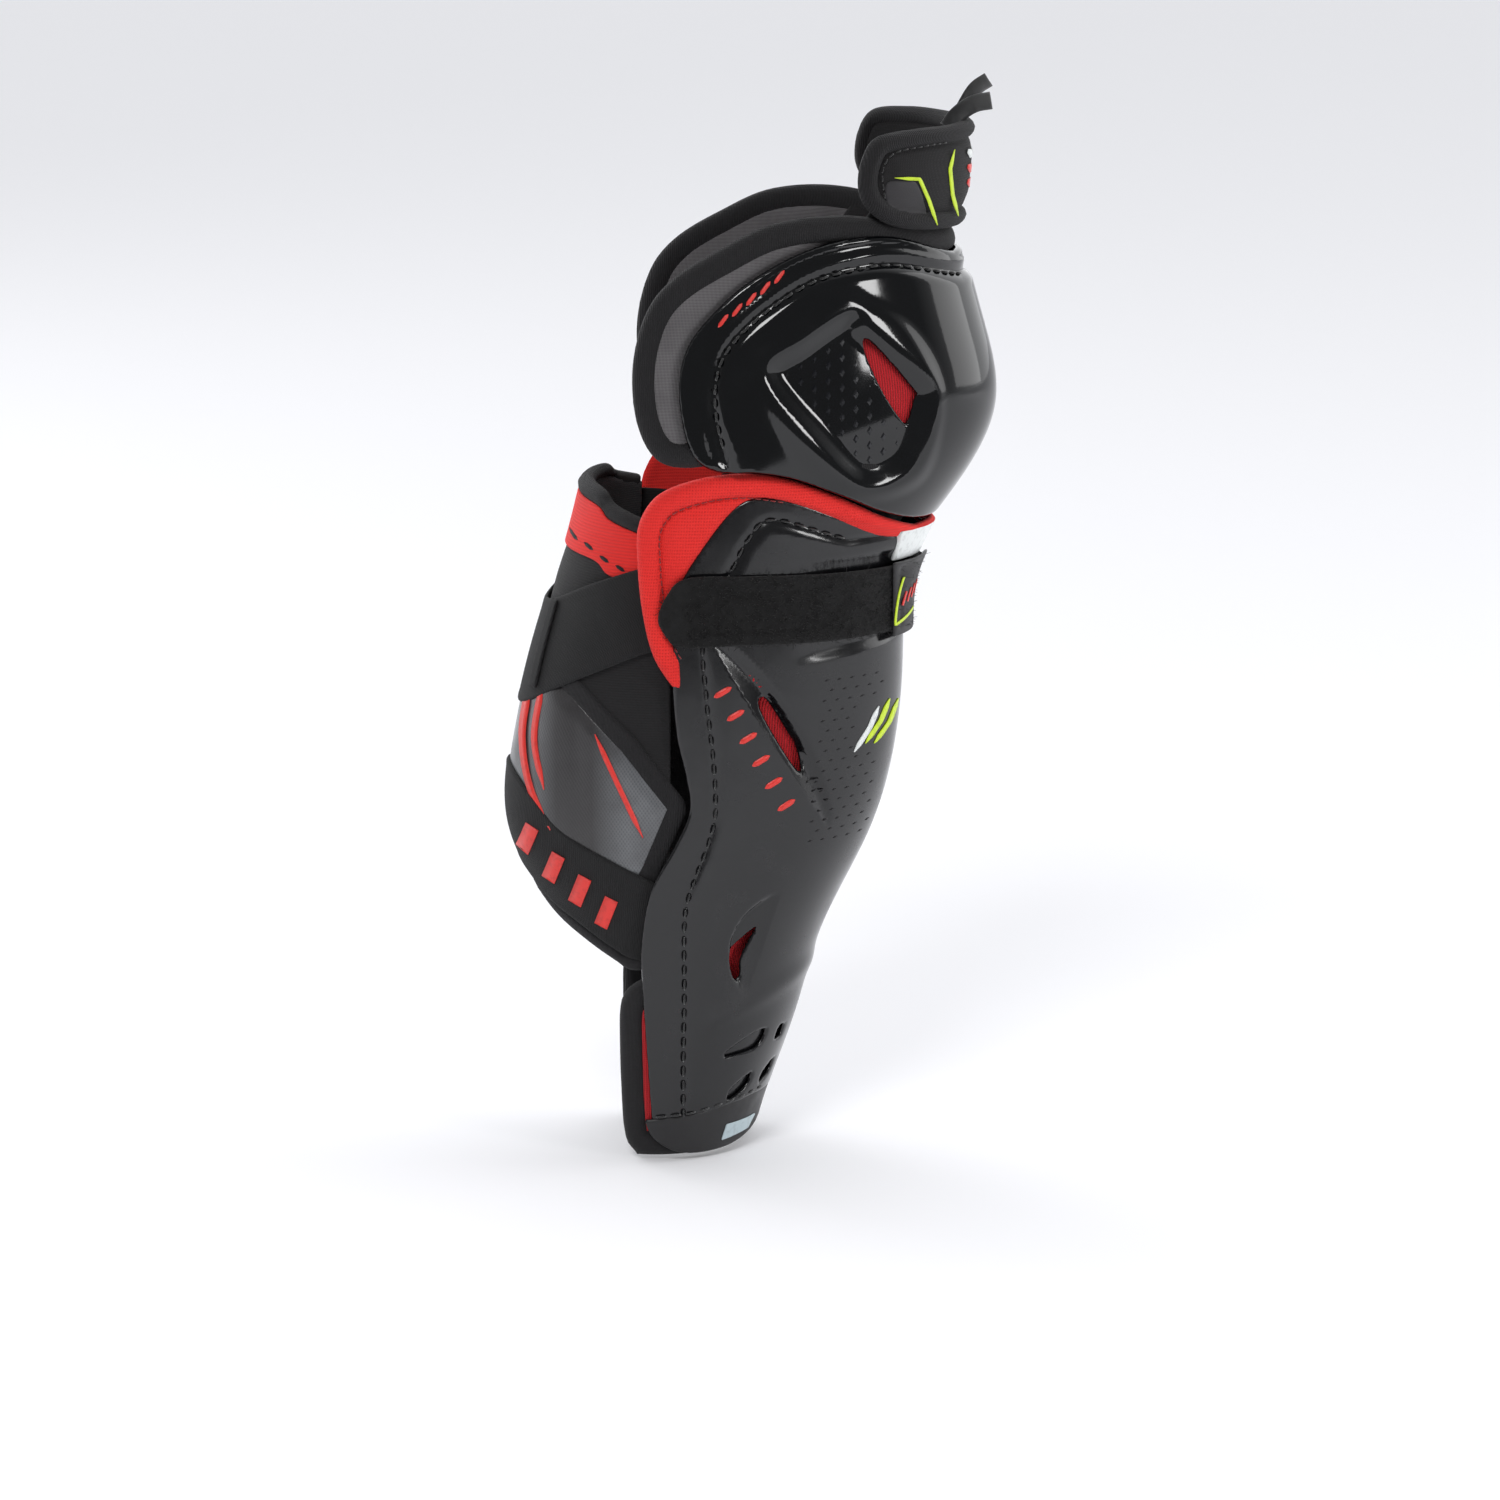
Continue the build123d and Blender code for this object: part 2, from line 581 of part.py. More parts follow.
# The inner seam of the wrap stays on the shin: a strip under the inner edge of the shell.
with BuildPart() as calf_seam_panel:
    add(layer(SHIN_STATIONS, SEAM_PANEL))
    with BuildSketch(Plane.XZ):
        with BuildLine():
            Polyline(*SEAM_PANEL_OUTLINE, close=True)
        make_face()
    extrude(amount=-SIDE_REACH, mode=Mode.INTERSECT)
calf_seam_panel.part.label = "calf_seam_panel"
export_step(calf_seam_panel.part, "parts/calf_seam_panel.step")

print("shin guard: all pieces written")
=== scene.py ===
"""Looks of the hockey shin guard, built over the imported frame. Shapes are worked out in millimetres."""
import math

import bpy
import numpy as np
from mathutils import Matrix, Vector


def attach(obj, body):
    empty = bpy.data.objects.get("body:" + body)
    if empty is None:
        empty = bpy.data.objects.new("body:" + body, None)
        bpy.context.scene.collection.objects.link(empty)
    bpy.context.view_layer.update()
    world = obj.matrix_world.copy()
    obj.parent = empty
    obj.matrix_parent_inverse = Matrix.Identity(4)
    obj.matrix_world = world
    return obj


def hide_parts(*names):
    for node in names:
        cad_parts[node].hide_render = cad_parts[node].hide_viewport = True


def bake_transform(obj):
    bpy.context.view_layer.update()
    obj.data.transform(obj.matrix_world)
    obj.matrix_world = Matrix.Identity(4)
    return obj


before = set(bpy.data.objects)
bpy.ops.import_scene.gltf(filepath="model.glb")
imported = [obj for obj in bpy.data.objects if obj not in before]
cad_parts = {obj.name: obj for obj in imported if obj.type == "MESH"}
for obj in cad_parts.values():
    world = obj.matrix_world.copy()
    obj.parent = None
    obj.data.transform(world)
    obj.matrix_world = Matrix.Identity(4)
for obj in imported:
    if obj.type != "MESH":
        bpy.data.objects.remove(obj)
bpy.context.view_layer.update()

MM = 0.001
GRID_RADIUS = 95     # turns a step along the widest sections into an angle
FRONT_RADIUS = 66    # of the shin's front, for widths given in millimetres
HALF_WIDTH = 60

# ---- sections of the CAD model
# z, front, centre, half width, rear
SHIN_TABLE = [
    (-6, 44, 2, 46, -44.5), (20, 51, 2, 48.5, -46.5), (60, 65, 3, 52, -48.5), (97, 76, 4, 55.5, -49.5),
    (142, 97.5, 6, 60.5, -68.5), (183, 109, 8, 63, -68), (230, 112.5, 9, 65, -57.5),
    (260, 115, 10, 66, -48.5), (285, 126, 12, 67.5, -41.5), (322, 140, 14, 69, -31.5),
    (336, 145, 15, 70, -26)]
KNEE_TABLE = [
    (276, 118, 12, 70, -80), (300, 136, 13, 73, -80), (336, 153, 16, 76, -80), (372, 148, 18, 75, -80),
    (405, 139, 20, 71, -80), (440, 130, 22, 66, -80)]
THIGH_TABLE = [(410, 138, 58, 62, -20), (440, 141, 60, 62, -20), (475, 144, 62, 61, -20)]


def natural_spline(xs, ys):
    """Smooth curve through the table's values, as the CAD lofts have."""
    xs, ys = np.array(xs, float), np.array(ys, float)
    n, h = len(xs), np.diff(xs)
    a, b = np.eye(n), np.zeros(n)
    for i in range(1, n - 1):
        a[i, i - 1:i + 2] = h[i - 1], 2 * (h[i - 1] + h[i]), h[i]
        b[i] = 6 * ((ys[i + 1] - ys[i]) / h[i] - (ys[i] - ys[i - 1]) / h[i - 1])
    m = np.linalg.solve(a, b)

    def curve(x):
        x = np.clip(np.asarray(x, float), xs[0], xs[-1])
        i = np.clip(np.searchsorted(xs, x) - 1, 0, n - 2)
        t, u = x - xs[i], xs[i + 1] - x
        return (
            (m[i] * u ** 3 + m[i + 1] * t ** 3) / (6 * h[i]) + (ys[i] / h[i] - m[i] * h[i] / 6) * u +
            (ys[i + 1] / h[i] - m[i + 1] * h[i] / 6) * t)
    return curve


class Sections:
    """Egg-shaped sections: two half ellipses that share the widest line."""

    def __init__(self, table):
        columns = list(zip(*table))
        self.z_range = columns[0][0], columns[0][-1]
        self.curves = [natural_spline(columns[0], column) for column in columns[1:]]

    def at(self, z):
        return [curve(z) for curve in self.curves]

    def place(self, angle, z, out):
        """Points at an angle from the front (inner side positive), a height and an offset."""
        front, centre, half, rear = self.at(z)
        axial = np.where(np.cos(angle) > 0, front - centre, centre - rear) + out
        return np.stack([centre + axial * np.cos(angle), (half + out) * np.sin(angle), z + 0 * angle], -1)

    def angle(self, x, z):
        """Angle, from 0 to pi, where the side view shows x."""
        front, centre, half, rear = self.at(z)
        axial = np.where(np.asarray(x) > centre, front - centre, centre - rear)
        return np.arccos(np.clip((x - centre) / axial, -1, 1))


SHIN, KNEE, THIGH = Sections(SHIN_TABLE), Sections(KNEE_TABLE), Sections(THIGH_TABLE)


def smooth(points, steps=8, closed=False):
    """Catmull-Rom curve through the points."""
    p = np.array(points, float)
    if closed:
        p = np.vstack([p[-1:], p, p[:2]])
    else:
        p = np.vstack([2 * p[0] - p[1], p, 2 * p[-1] - p[-2]])
    t = np.linspace(0, 1, steps, endpoint=False)[:, None]
    spans = [
        0.5 * (2 * b + (c - a) * t + (2 * a - 5 * b + 4 * c - d) * t ** 2 + (3 * b - a - 3 * c + d) * t ** 3)
        for a, b, c, d in zip(p[:-3], p[1:-2], p[2:-1], p[3:])]
    return np.vstack(spans + ([] if closed else [p[-2:-1]]))


def to_front(points):
    """Closed area from a rear edge on to beyond the front of every section."""
    edge = smooth(points)
    return np.vstack([edge, [(FAR_FRONT, edge[-1][1]), (FAR_FRONT, edge[0][1])]])


def between(top, bottom):
    """Closed area between two edges given from front to rear, or both from rear to front."""
    return np.vstack([smooth(top), smooth(bottom)[::-1]])


def depth(area, x, z):
    """Distance inside a closed outline; negative outside."""
    x, z = np.asarray(x, float), np.asarray(z, float)
    shape, p = x.shape, np.stack([x.ravel(), z.ravel()], -1)
    best, inside = np.full(len(p), 1e9), np.zeros(len(p), bool)
    for a, b in zip(area, np.roll(area, -1, 0)):
        ab = b - a
        length = ab @ ab
        if length < 1e-9:
            continue
        t = np.clip(((p - a) @ ab) / length, 0, 1)
        best = np.minimum(best, ((p - a - t[:, None] * ab) ** 2).sum(1))
        if a[1] != b[1]:
            crosses = (a[1] > p[:, 1]) != (b[1] > p[:, 1])
            inside ^= crosses & (p[:, 0] < a[0] + (p[:, 1] - a[1]) / ab[1] * ab[0])
    return (np.sqrt(best) * np.where(inside, 1, -1)).reshape(shape)


def ease(t):
    t = np.clip(t, 0, 1)
    return t * t * (3 - 2 * t)


def rim(d, radius):
    """Round edge: from 0 at the outline to 1 a radius inside it."""
    return np.sqrt(1 - (1 - np.clip(d / radius, 0, 1)) ** 2)


# ---- outlines, side view (x, z)
FAR_FRONT = 190
FAR_REAR = -85
SHELL_EDGE = [
    (0, 18), (-4, 79), (-4.4, 101), (0, 126), (11, 147), (17.6, 163), (16, 179), (11.5, 200), (9.7, 236),
    (12, 262), (24, 283), (38, 300), (50, 304), (66, 301), (88, 292), (108, 285), (126, 282)]
SHELL_STITCH = smooth([
    (14.5, 19), (14.5, 49), (15, 77), (15, 109), (17, 123), (22, 137), (26, 148), (29, 162), (28, 187),
    (25, 214), (24, 246), (37, 273), (44, 286), (55, 294), (88, 283)])
LINER_AREA = to_front([
    (-8, 1), (-14.5, 12), (-16.5, 50), (-15.5, 74), (-5, 84), (12, 90), (13, 118), (25, 146), (32, 162),
    (31, 176), (26, 198), (23, 236), (24, 262), (34, 280), (50, 296), (70, 292), (90, 284), (112, 277)])
WING_EDGE = [
    (13, 218), (9.7, 220), (1, 234), (-4, 255), (-6, 278), (-5, 293), (4, 306), (22, 313), (42, 315),
    (62, 312), (84, 303), (102, 293), (118, 285.5)]
KNEE_AREA = to_front([
    (136, 406), (110, 416), (88, 416.5), (66, 411), (44, 399.5), (28, 386), (17, 372), (13, 356), (14.5, 338),
    (20, 323), (31, 316.5), (46, 316.5), (64, 313), (85, 304), (103, 295), (119, 289), (134, 288)])
KNEE_STITCH = smooth([
    (139, 396), (110, 404), (88, 403), (70, 398), (53, 388), (40, 377), (32, 366), (29, 353), (30, 338),
    (34, 322)])
KNEE_LINER_AREA = to_front([
    (132, 417), (92, 426), (57, 424), (31, 413), (9, 400), (-3, 385), (-9, 362), (-7, 338), (2, 322),
    (17, 318), (42, 321), (66, 317), (90, 310), (114, 307)])
FLAP_AREA = np.vstack([smooth([
    (138, 416), (112, 420), (99, 427), (93, 437), (94, 450), (101, 460.5), (118, 463), (134, 463)]),
    [(FAR_FRONT, 463), (FAR_FRONT, 416)]])
CALF_TOP = [(FAR_REAR, 304), (-34, 304), (-22, 298), (-4, 293), (12, 289)]
CALF_BOTTOM = [(12, 90), (-10, 87), (-20, 91), (-36, 99), (-50, 107), (-66, 121), (FAR_REAR, 134)]
FREE_AREA = np.vstack([smooth([
    (4, 310), (4, 244), (12, 225), (19, 200), (24, 178), (25, 162), (19, 147), (9, 130), (6, 118), (6, 80)]),
    [(FAR_FRONT, 80), (FAR_FRONT, 310)]])
PLATE_AREA = np.array([
    (FAR_REAR, 222), (-50, 219), (-38.5, 211), (-14, 189), (8, 163), (-4, 136), (-12, 122), (-30, 122),
    (-52, 136), (FAR_REAR, 148)], float)
UPPER_STRAP_TOP = [(14, 276), (-5, 272), (-30, 262), (-50, 250), (-62, 243), (FAR_REAR, 230)]
UPPER_STRAP_BOTTOM = [(14, 236), (-5, 233), (-40, 217), (-62, 203), (FAR_REAR, 190)]
LOWER_STRAP_TOP = [(14, 122), (4, 128), (-18, 138), (-41, 149), (-57, 164), (FAR_REAR, 190)]
LOWER_STRAP_BOTTOM = [(14, 93), (-8, 93), (-20, 98), (-36, 107), (-50, 115), (-66, 130), (FAR_REAR, 141)]
ANKLE_AREA = np.vstack([
    smooth([(-3.5, 19), (1, 10), (13, 3.2), (31, 2.5), (44, 6), (53, 14)]),
    [(FAR_FRONT, 14), (FAR_FRONT, 27), (46, 27), (16, 21)]])
VENTS = [smooth(edge, closed=True) for edge in (
    [(49, 212), (53, 212.5), (62, 199), (67.5, 189), (68.5, 179), (65, 181), (58, 192), (51, 205)],
    [(48, 107), (42.5, 102.5), (36, 95.5), (35.5, 90), (37.4, 83.5), (40.5, 84.5), (41, 92), (44.5, 100)])]
UPPER_GOUGE = (26, 241), (78, 152), 10.5, -1
LOWER_GOUGE = (58, 122), (43, 77), 13.0, 1
HOLLOWS = [smooth(edge, 6, closed=True) for edge in (
    [(24, 243), (44, 222), (62, 206), (76, 186), (82, 150), (62, 166), (42, 200)],
    [(60, 124), (50, 122), (36, 108), (32, 92), (38, 76), (48, 80), (56, 104)])]
DISHES = [smooth(edge, 3, closed=True) for edge in (
    [(32, 47.5), (40, 47.6), (48, 49.6), (51.5, 57), (43.4, 55)],
    [(34, 26), (36.5, 31.3), (45, 36.8), (43, 31.3), (38, 27.2)],
    [(48.5, 30), (50, 35), (55, 40), (53, 34)], [(55.5, 50.5), (57.5, 56), (59.8, 56), (58, 51)])]
KNEE_DISH = smooth([
    (53, 360), (68, 372), (86.7, 383), (93, 378), (106, 366), (121, 351), (123, 341), (119, 326), (110, 314),
    (93, 312), (72, 334)], closed=True)
KNEE_RIDGE = smooth([
    (41, 362), (60, 381), (84, 397), (98, 391), (114, 380), (127, 358), (130, 334), (120, 306), (90, 300),
    (64, 322)], closed=True)
KNEE_WINDOW = smooth([
    (95, 372), (100, 370), (118, 349.5), (119, 346), (116.5, 336), (114, 335.5), (104, 351)], 4, closed=True)


# ---- meshes
def split(points, polygons, values, level):
    """Cut the polygons of a grid along a level line of a value held at its points."""
    points, values, made, result = list(points), list(values), {}, []
    for polygon in polygons:
        v = [values[i] - level for i in polygon]
        if min(v) >= -1e-6 or max(v) <= 1e-6:
            result.append(polygon)
            continue
        above, below = [], []
        for i, j, vi, vj in zip(polygon, polygon[1:] + polygon[:1], v, v[1:] + v[:1]):
            if vi >= -1e-6:
                above.append(i)
            if vi <= 1e-6:
                below.append(i)
            if (vi > 1e-6 and vj < -1e-6) or (vi < -1e-6 and vj > 1e-6):
                key = (min(i, j), max(i, j))
                if key not in made:
                    t = vi / (vi - vj)
                    made[key] = len(points)
                    points.append(tuple(p + (q - p) * t for p, q in zip(points[i], points[j])))
                    values.append(level)
                above.append(made[key])
                below.append(made[key])
        result += [part for part in (above, below) if len(part) > 2]
    return points, result


def skin(
        name, sections, area, top, bottom, material, step=2.0, rings=(0.35, 1.2), angles=(-2.6, 2.6),
        z_range=None, features=()):
    """Closed soft or hard sheet over the sections: top and bottom give its faces' offsets.

    area(x, z, angle) is the depth inside its outline, and both faces meet at the outline.
    """
    low, high = z_range or sections.z_range
    a_grid = np.linspace(angles[0], angles[1], max(3, int((angles[1] - angles[0]) * GRID_RADIUS / step)))
    z_grid = np.linspace(low, high, max(3, int((high - low) / step)))
    angle, z = (grid.ravel() for grid in np.meshgrid(a_grid, z_grid, indexing="ij"))
    n = len(z_grid)
    points = list(zip(angle, z))
    polygons = [
        [i * n + j, (i + 1) * n + j, (i + 1) * n + j + 1, i * n + j + 1] for i in range(len(a_grid) - 1)
        for j in range(n - 1)]

    def field(function):
        a, h = np.array(points).T
        return function(sections.place(a, h, 0)[:, 0], h, a)

    inside = field(area)
    polygons = [p for p in polygons if max(inside[i] for i in p) > 0]
    for function, levels in [(area, (0,) + tuple(rings))] + list(features):
        for level in levels:
            points, polygons = split(points, polygons, field(function), level)
    inside = field(area)
    polygons = [p for p in polygons if sum(inside[i] for i in p) > 1e-6]
    used = sorted({i for p in polygons for i in p})
    index = {i: k for k, i in enumerate(used)}
    polygons = [[index[i] for i in p] for p in polygons]
    angle, z = np.array([points[i] for i in used]).T
    d = np.maximum(inside[used], 0)
    x = sections.place(angle, z, 0)[:, 0]
    upper, lower = [face(x, z, angle, d) if callable(face) else face for face in (top, bottom)]
    round_edge = rim(d, max(rings)) if rings else np.ones_like(d)
    middle = (upper + lower) / 2
    face = sections.place(angle, z, middle + (upper - middle) * round_edge)
    back = sections.place(angle, z, middle + (lower - middle) * round_edge)
    count = len(used)
    on_edge = d < 1e-5
    under = [k if (on_edge[k] and rings) else count + k for k in range(count)]
    faces = polygons + [[under[k] for k in reversed(p)] for p in polygons]
    edges = dict.fromkeys((i, j) for p in polygons for i, j in zip(p, p[1:] + p[:1]))
    for i, j in edges:
        if (j, i) not in edges and not (rings and on_edge[i] and on_edge[j]):
            faces.append(list(dict.fromkeys([j, i, under[i], under[j]])))
    around = np.linspace(-math.pi, math.pi, 400)
    walk = sections.place(around, np.full_like(around, (low + high) / 2), 0)
    length = np.concatenate([[0], np.cumsum(np.linalg.norm(np.diff(walk, axis=0), axis=1))])
    turn = (angle + math.pi) % (2 * math.pi) - math.pi if angles[1] < math.pi else angle - math.pi
    along = np.interp(turn, around, length)
    return build(name, np.vstack([face, back]), faces, material, uv=np.tile(np.stack([along, z], -1), (2, 1)))


def build(name, points, faces, material, uv=None, smooth_shade=True):
    """A mesh object from points in millimetres; its UV map is in centimetres."""
    faces = [f for f in faces if len(f) > 2]
    used = sorted({i for f in faces for i in f})
    index = {i: k for k, i in enumerate(used)}
    mesh = bpy.data.meshes.new(name)
    mesh.from_pydata(
        [tuple(p) for p in np.asarray(points)[used] * MM], [], [[index[i] for i in f] for f in faces])
    if uv is not None:
        layer = mesh.uv_layers.new(name="UVMap")
        corner = np.zeros(len(mesh.loops), int)
        mesh.loops.foreach_get("vertex_index", corner)
        layer.data.foreach_set("uv", (np.asarray(uv)[used][corner] / 10).ravel().astype(np.float32))
    mesh.materials.append(material)
    mesh.polygons.foreach_set("use_smooth", [smooth_shade] * len(mesh.polygons))
    mesh.update()
    piece = bpy.data.objects.new(name, mesh)
    bpy.context.scene.collection.objects.link(piece)
    return piece


def slab_faces(rows, n):
    """Faces of a closed thin sheet: a grid of rows of n points, then the same grid behind it."""
    behind, faces = rows * n, []
    for k in range(rows - 1):
        for i in range(k * n, k * n + n - 1):
            quad = [i, i + 1, i + n + 1, i + n]
            faces += [quad, [j + behind for j in reversed(quad)]]
    border = list(range(n)) + [k * n + n - 1 for k in range(1, rows)]
    border += [behind - n + i for i in range(n - 2, -1, -1)] + [k * n for k in range(rows - 2, 0, -1)]
    return faces + [[j, i, i + behind, j + behind] for i, j in zip(border, border[1:] + border[:1])]


def bar_faces(n):
    """Faces of a bar between four lines of n points: upper left and right, lower left and right."""
    faces = [
        [a * n + i, b * n + i, b * n + i + 1, a * n + i + 1] for i in range(n - 1)
        for a, b in ((0, 1), (1, 3), (3, 2), (2, 0))]
    return faces + [[0, n, 3 * n, 2 * n], [n - 1, 3 * n - 1, 4 * n - 1, 2 * n - 1]]


def across_of(line):
    """Unit vectors to the left of a flat line."""
    ahead = np.gradient(line, axis=0)
    ahead /= np.linalg.norm(ahead, axis=1)[:, None] + 1e-9
    return np.stack([-ahead[:, 1], ahead[:, 0]], -1)


def line_points(sections, path, side, out):
    """Points on the sections along a side-view path, on one side of the leg (outer side = -1)."""
    path = np.asarray(path, float)
    angle = sections.angle(path[:, 0], path[:, 1]) * side
    return sections.place(angle, path[:, 1], out)


def resample(points, spacing):
    """Evenly spaced points along a line."""
    step = np.linalg.norm(np.diff(points, axis=0), axis=1)
    along = np.concatenate([[0], np.cumsum(step)])
    count = max(2, int(round(along[-1] / spacing)) + 1)
    even = np.linspace(0, along[-1], count)
    return np.stack([np.interp(even, along, points[:, k]) for k in range(points.shape[1])], -1)


def tube(points, radius, sides=6):
    """Vertices and faces of a round tube along points, closed at both ends."""
    points = np.asarray(points, float)
    ahead = np.gradient(points, axis=0)
    ahead /= np.linalg.norm(ahead, axis=1)[:, None] + 1e-9
    helper = np.array([0.13, 0.27, 0.95]) if abs(ahead[0][2]) < 0.9 else np.array([0.95, 0.27, 0.13])
    across = np.cross(ahead, helper)
    across /= np.linalg.norm(across, axis=1)[:, None] + 1e-9
    other = np.cross(ahead, across)
    radius = np.broadcast_to(radius, len(points))
    turn = np.linspace(0, 2 * math.pi, sides, endpoint=False)
    vertices = np.vstack([
        p + r * (np.cos(turn)[:, None] * a + np.sin(turn)[:, None] * o)
        for p, r, a, o in zip(points, radius, across, other)])
    faces = [[
        i * sides + k, i * sides + (k + 1) % sides, (i + 1) * sides + (k + 1) % sides, (i + 1) * sides + k]
        for i in range(len(points) - 1) for k in range(sides)]
    faces += [list(range(sides))[::-1], [(len(points) - 1) * sides + k for k in range(sides)]]
    return vertices, faces


def joined(name, parts, material):
    """One object from several vertex and face lists."""
    vertices, faces, count = [], [], 0
    for v, f in parts:
        vertices.append(v)
        faces += [[i + count for i in face] for face in f]
        count += len(v)
    return build(name, np.vstack(vertices), faces, material)


def stitches(name, paths, material, length=4.0, gap=2.2, thread=0.45):
    """Sewn thread: one bowed stitch after another along each line of points."""
    parts = []
    for line, normal_line in paths:
        pitch = length + gap
        fine = resample(np.hstack([line, normal_line]), pitch / 6)
        for k in range(0, len(fine) - 5, 6):
            run, lift = fine[k:k + 5, :3], fine[k:k + 5, 3:]
            bow = np.array([-0.9, 0.35, 0.6, 0.35, -0.9])[:, None]
            parts.append(tube(run + lift * bow * thread, thread * np.array([0.8, 1, 1, 1, 0.8])))
    return joined(name, parts, material)


def stitch_line(sections, path, side, out):
    """A line on the surface with its outward direction, for stitches."""
    line = line_points(sections, path, side, out)
    raised = line_points(sections, path, side, out + 1)
    return line, raised - line


BOTH = (-1, 1)


# ---- materials
def linear(red, green, blue):
    """Linear colour from 0-255 screen values."""
    return tuple(
        ((c / 255 + 0.055) / 1.055) ** 2.4 if c > 10 else c / 255 / 12.92
        for c in (red, green, blue)) + (1.0,)


class Look:
    """A node material with helpers for its colour, roughness and relief."""

    def __init__(self, name, colour, roughness, **sockets):
        self.material = bpy.data.materials.new(name)
        self.material.use_nodes = True
        self.nodes = self.material.node_tree.nodes
        self.links = self.material.node_tree.links
        self.shader = self.nodes["Principled BSDF"]
        self.shader.inputs["Base Color"].default_value = colour
        self.shader.inputs["Roughness"].default_value = roughness
        for socket, value in sockets.items():
            self.shader.inputs[socket.replace("_", " ")].default_value = value
        self.colour, self.roughness, self.normal = colour, roughness, None

    def node(self, kind, **inputs):
        made = self.nodes.new("ShaderNode" + kind)
        for key, value in inputs.items():
            target = made.inputs[int(key[1:])] if key[1:].isdigit() else made.inputs[key.replace("_", " ")]
            if hasattr(value, "is_linked"):
                self.links.new(value, target)
            else:
                target.default_value = value
        return made

    def math(self, operation, first, second=0.0):
        made = self.node("Math", i0=first, i1=second)
        made.operation = operation
        return made.outputs[0]

    def uv(self):
        """The UV map's two values, in centimetres."""
        split_uv = self.node("SeparateXYZ", i0=self.node("UVMap").outputs[0])
        return split_uv.outputs[0], split_uv.outputs[1]

    def wave(self, value, period_mm):
        return self.math("SINE", self.math("MULTIPLY", value, 20 * math.pi / period_mm))

    def noise(self, scale, detail=3.0):
        """Noise in object space; scale is in features per metre."""
        place = self.node("TexCoord").outputs["Object"]
        return self.node("TexNoise", Vector=place, Scale=scale, Detail=detail).outputs["Fac"]

    def relief(self, height, distance_mm, strength=1.0):
        inputs = {"Strength": strength, "Distance": distance_mm * MM, "Height": height}
        if self.normal is not None:
            inputs["Normal"] = self.normal
        self.normal = self.node("Bump", **inputs).outputs[0]
        self.links.new(self.normal, self.shader.inputs["Normal"])

    def tint(self, factor, colour, low=0.0, high=1.0):
        """Mix towards another colour where the factor is high."""
        ranged = self.node("MapRange", Value=factor, From_Min=low, From_Max=high).outputs[0]
        mix = self.nodes.new("ShaderNodeMix")
        mix.data_type = "RGBA"
        self.links.new(ranged, mix.inputs[0])
        if hasattr(self.colour, "is_linked"):
            self.links.new(self.colour, mix.inputs[6])
        else:
            mix.inputs[6].default_value = self.colour
        mix.inputs[7].default_value = colour
        self.colour = mix.outputs[2]
        self.links.new(self.colour, self.shader.inputs["Base Color"])

    def vary_roughness(self, factor, low, high, start=0.35, end=0.65):
        ranged = self.node(
            "MapRange", Value=factor, From_Min=start, From_Max=end, To_Min=low, To_Max=high).outputs[0]
        self.links.new(ranged, self.shader.inputs["Roughness"])


def plastic(name, colour, dust, roughness, coat):
    """Moulded plastic with faint handling marks, flow ripple and dulled patches."""
    look = Look(name, linear(*colour), roughness, Coat_Weight=coat, Coat_Roughness=0.05, IOR=1.5)
    marks = look.noise(55, 6)
    look.tint(marks, linear(*dust), 0.5, 0.95)
    look.vary_roughness(marks, roughness * 0.8, roughness * 1.5)
    look.relief(look.noise(30, 1), 0.35, 0.12)
    look.relief(look.noise(1400, 2), 0.02, 0.25)
    return look.material


def fabric(name, colour, dark, period, kind, depth_mm, sheen=0.3, roughness=0.85):
    """Cloth with real yarn: kind is knit, rib, mesh or twill."""
    look = Look(name, linear(*colour), roughness, Sheen_Weight=sheen, Sheen_Roughness=0.5)
    u, v = look.uv()
    if kind == "twill":
        diagonal = look.math("ADD", u, v)
        height = look.math("MULTIPLY", look.wave(diagonal, period), look.wave(v, period * 0.8))
    elif kind == "rib":
        height = look.math(
            "ADD", look.wave(u, period), look.math("MULTIPLY", look.wave(v, period * 0.7), 0.35))
    elif kind == "mesh":
        height = look.math(
            "MULTIPLY", look.wave(look.math("ADD", u, v), period),
            look.wave(look.math("SUBTRACT", u, v), period))
    else:
        height = look.math("MAXIMUM", look.wave(u, period), look.wave(v, period * 1.3))
    look.tint(height, linear(*dark), 0.4, -0.9)
    look.tint(look.noise(45, 4), linear(*dark), 0.52, 1.1)
    look.relief(look.noise(2500, 2), 0.12, 0.5)
    look.relief(height, depth_mm, 0.8)
    return look.material


def printed(name, colour, roughness=0.4):
    """Screen print on cloth or film, slightly uneven."""
    look = Look(name, linear(*colour), roughness)
    look.tint(look.noise(420, 3), tuple(c * 0.72 for c in linear(*colour)[:3]) + (1,), 0.5, 0.8)
    look.relief(look.noise(1800, 2), 0.05, 0.4)
    return look.material


SHELL_LOOK = plastic("shell_plastic", (16, 16, 18), (28, 28, 30), 0.19, 0.15)
GLOSS_LOOK = plastic("gloss_shell", (5, 6, 8), (12, 13, 15), 0.07, 0.1)
# The studs' plastic is painted lighter than the knee cap's, though it is the same plastic: a painted glint
# that shows them as grey lozenges.
STUD_GLINT_LOOK = plastic("stud_plastic_painted_glint", (24, 25, 29), (34, 35, 38), 0.2, 0.1)
TAB_LOOK = plastic("tab_rubber", (24, 23, 25), (34, 33, 35), 0.42, 0.0)
RED_LOOK = fabric("red_fabric", (236, 40, 34), (205, 24, 22), 1.1, "knit", 0.12, 0.04)
LINER_RED_LOOK = fabric("liner_red_fabric", (205, 20, 32), (140, 8, 18), 1.3, "rib", 0.2, 0.04)
GREY_MESH_LOOK = fabric("grey_mesh", (128, 125, 127), (62, 60, 61), 1.3, "mesh", 0.25, 0.05)
BINDING_LOOK = fabric("binding_knit", (22, 20, 23), (10, 9, 11), 0.95, "rib", 0.14, 0.04)
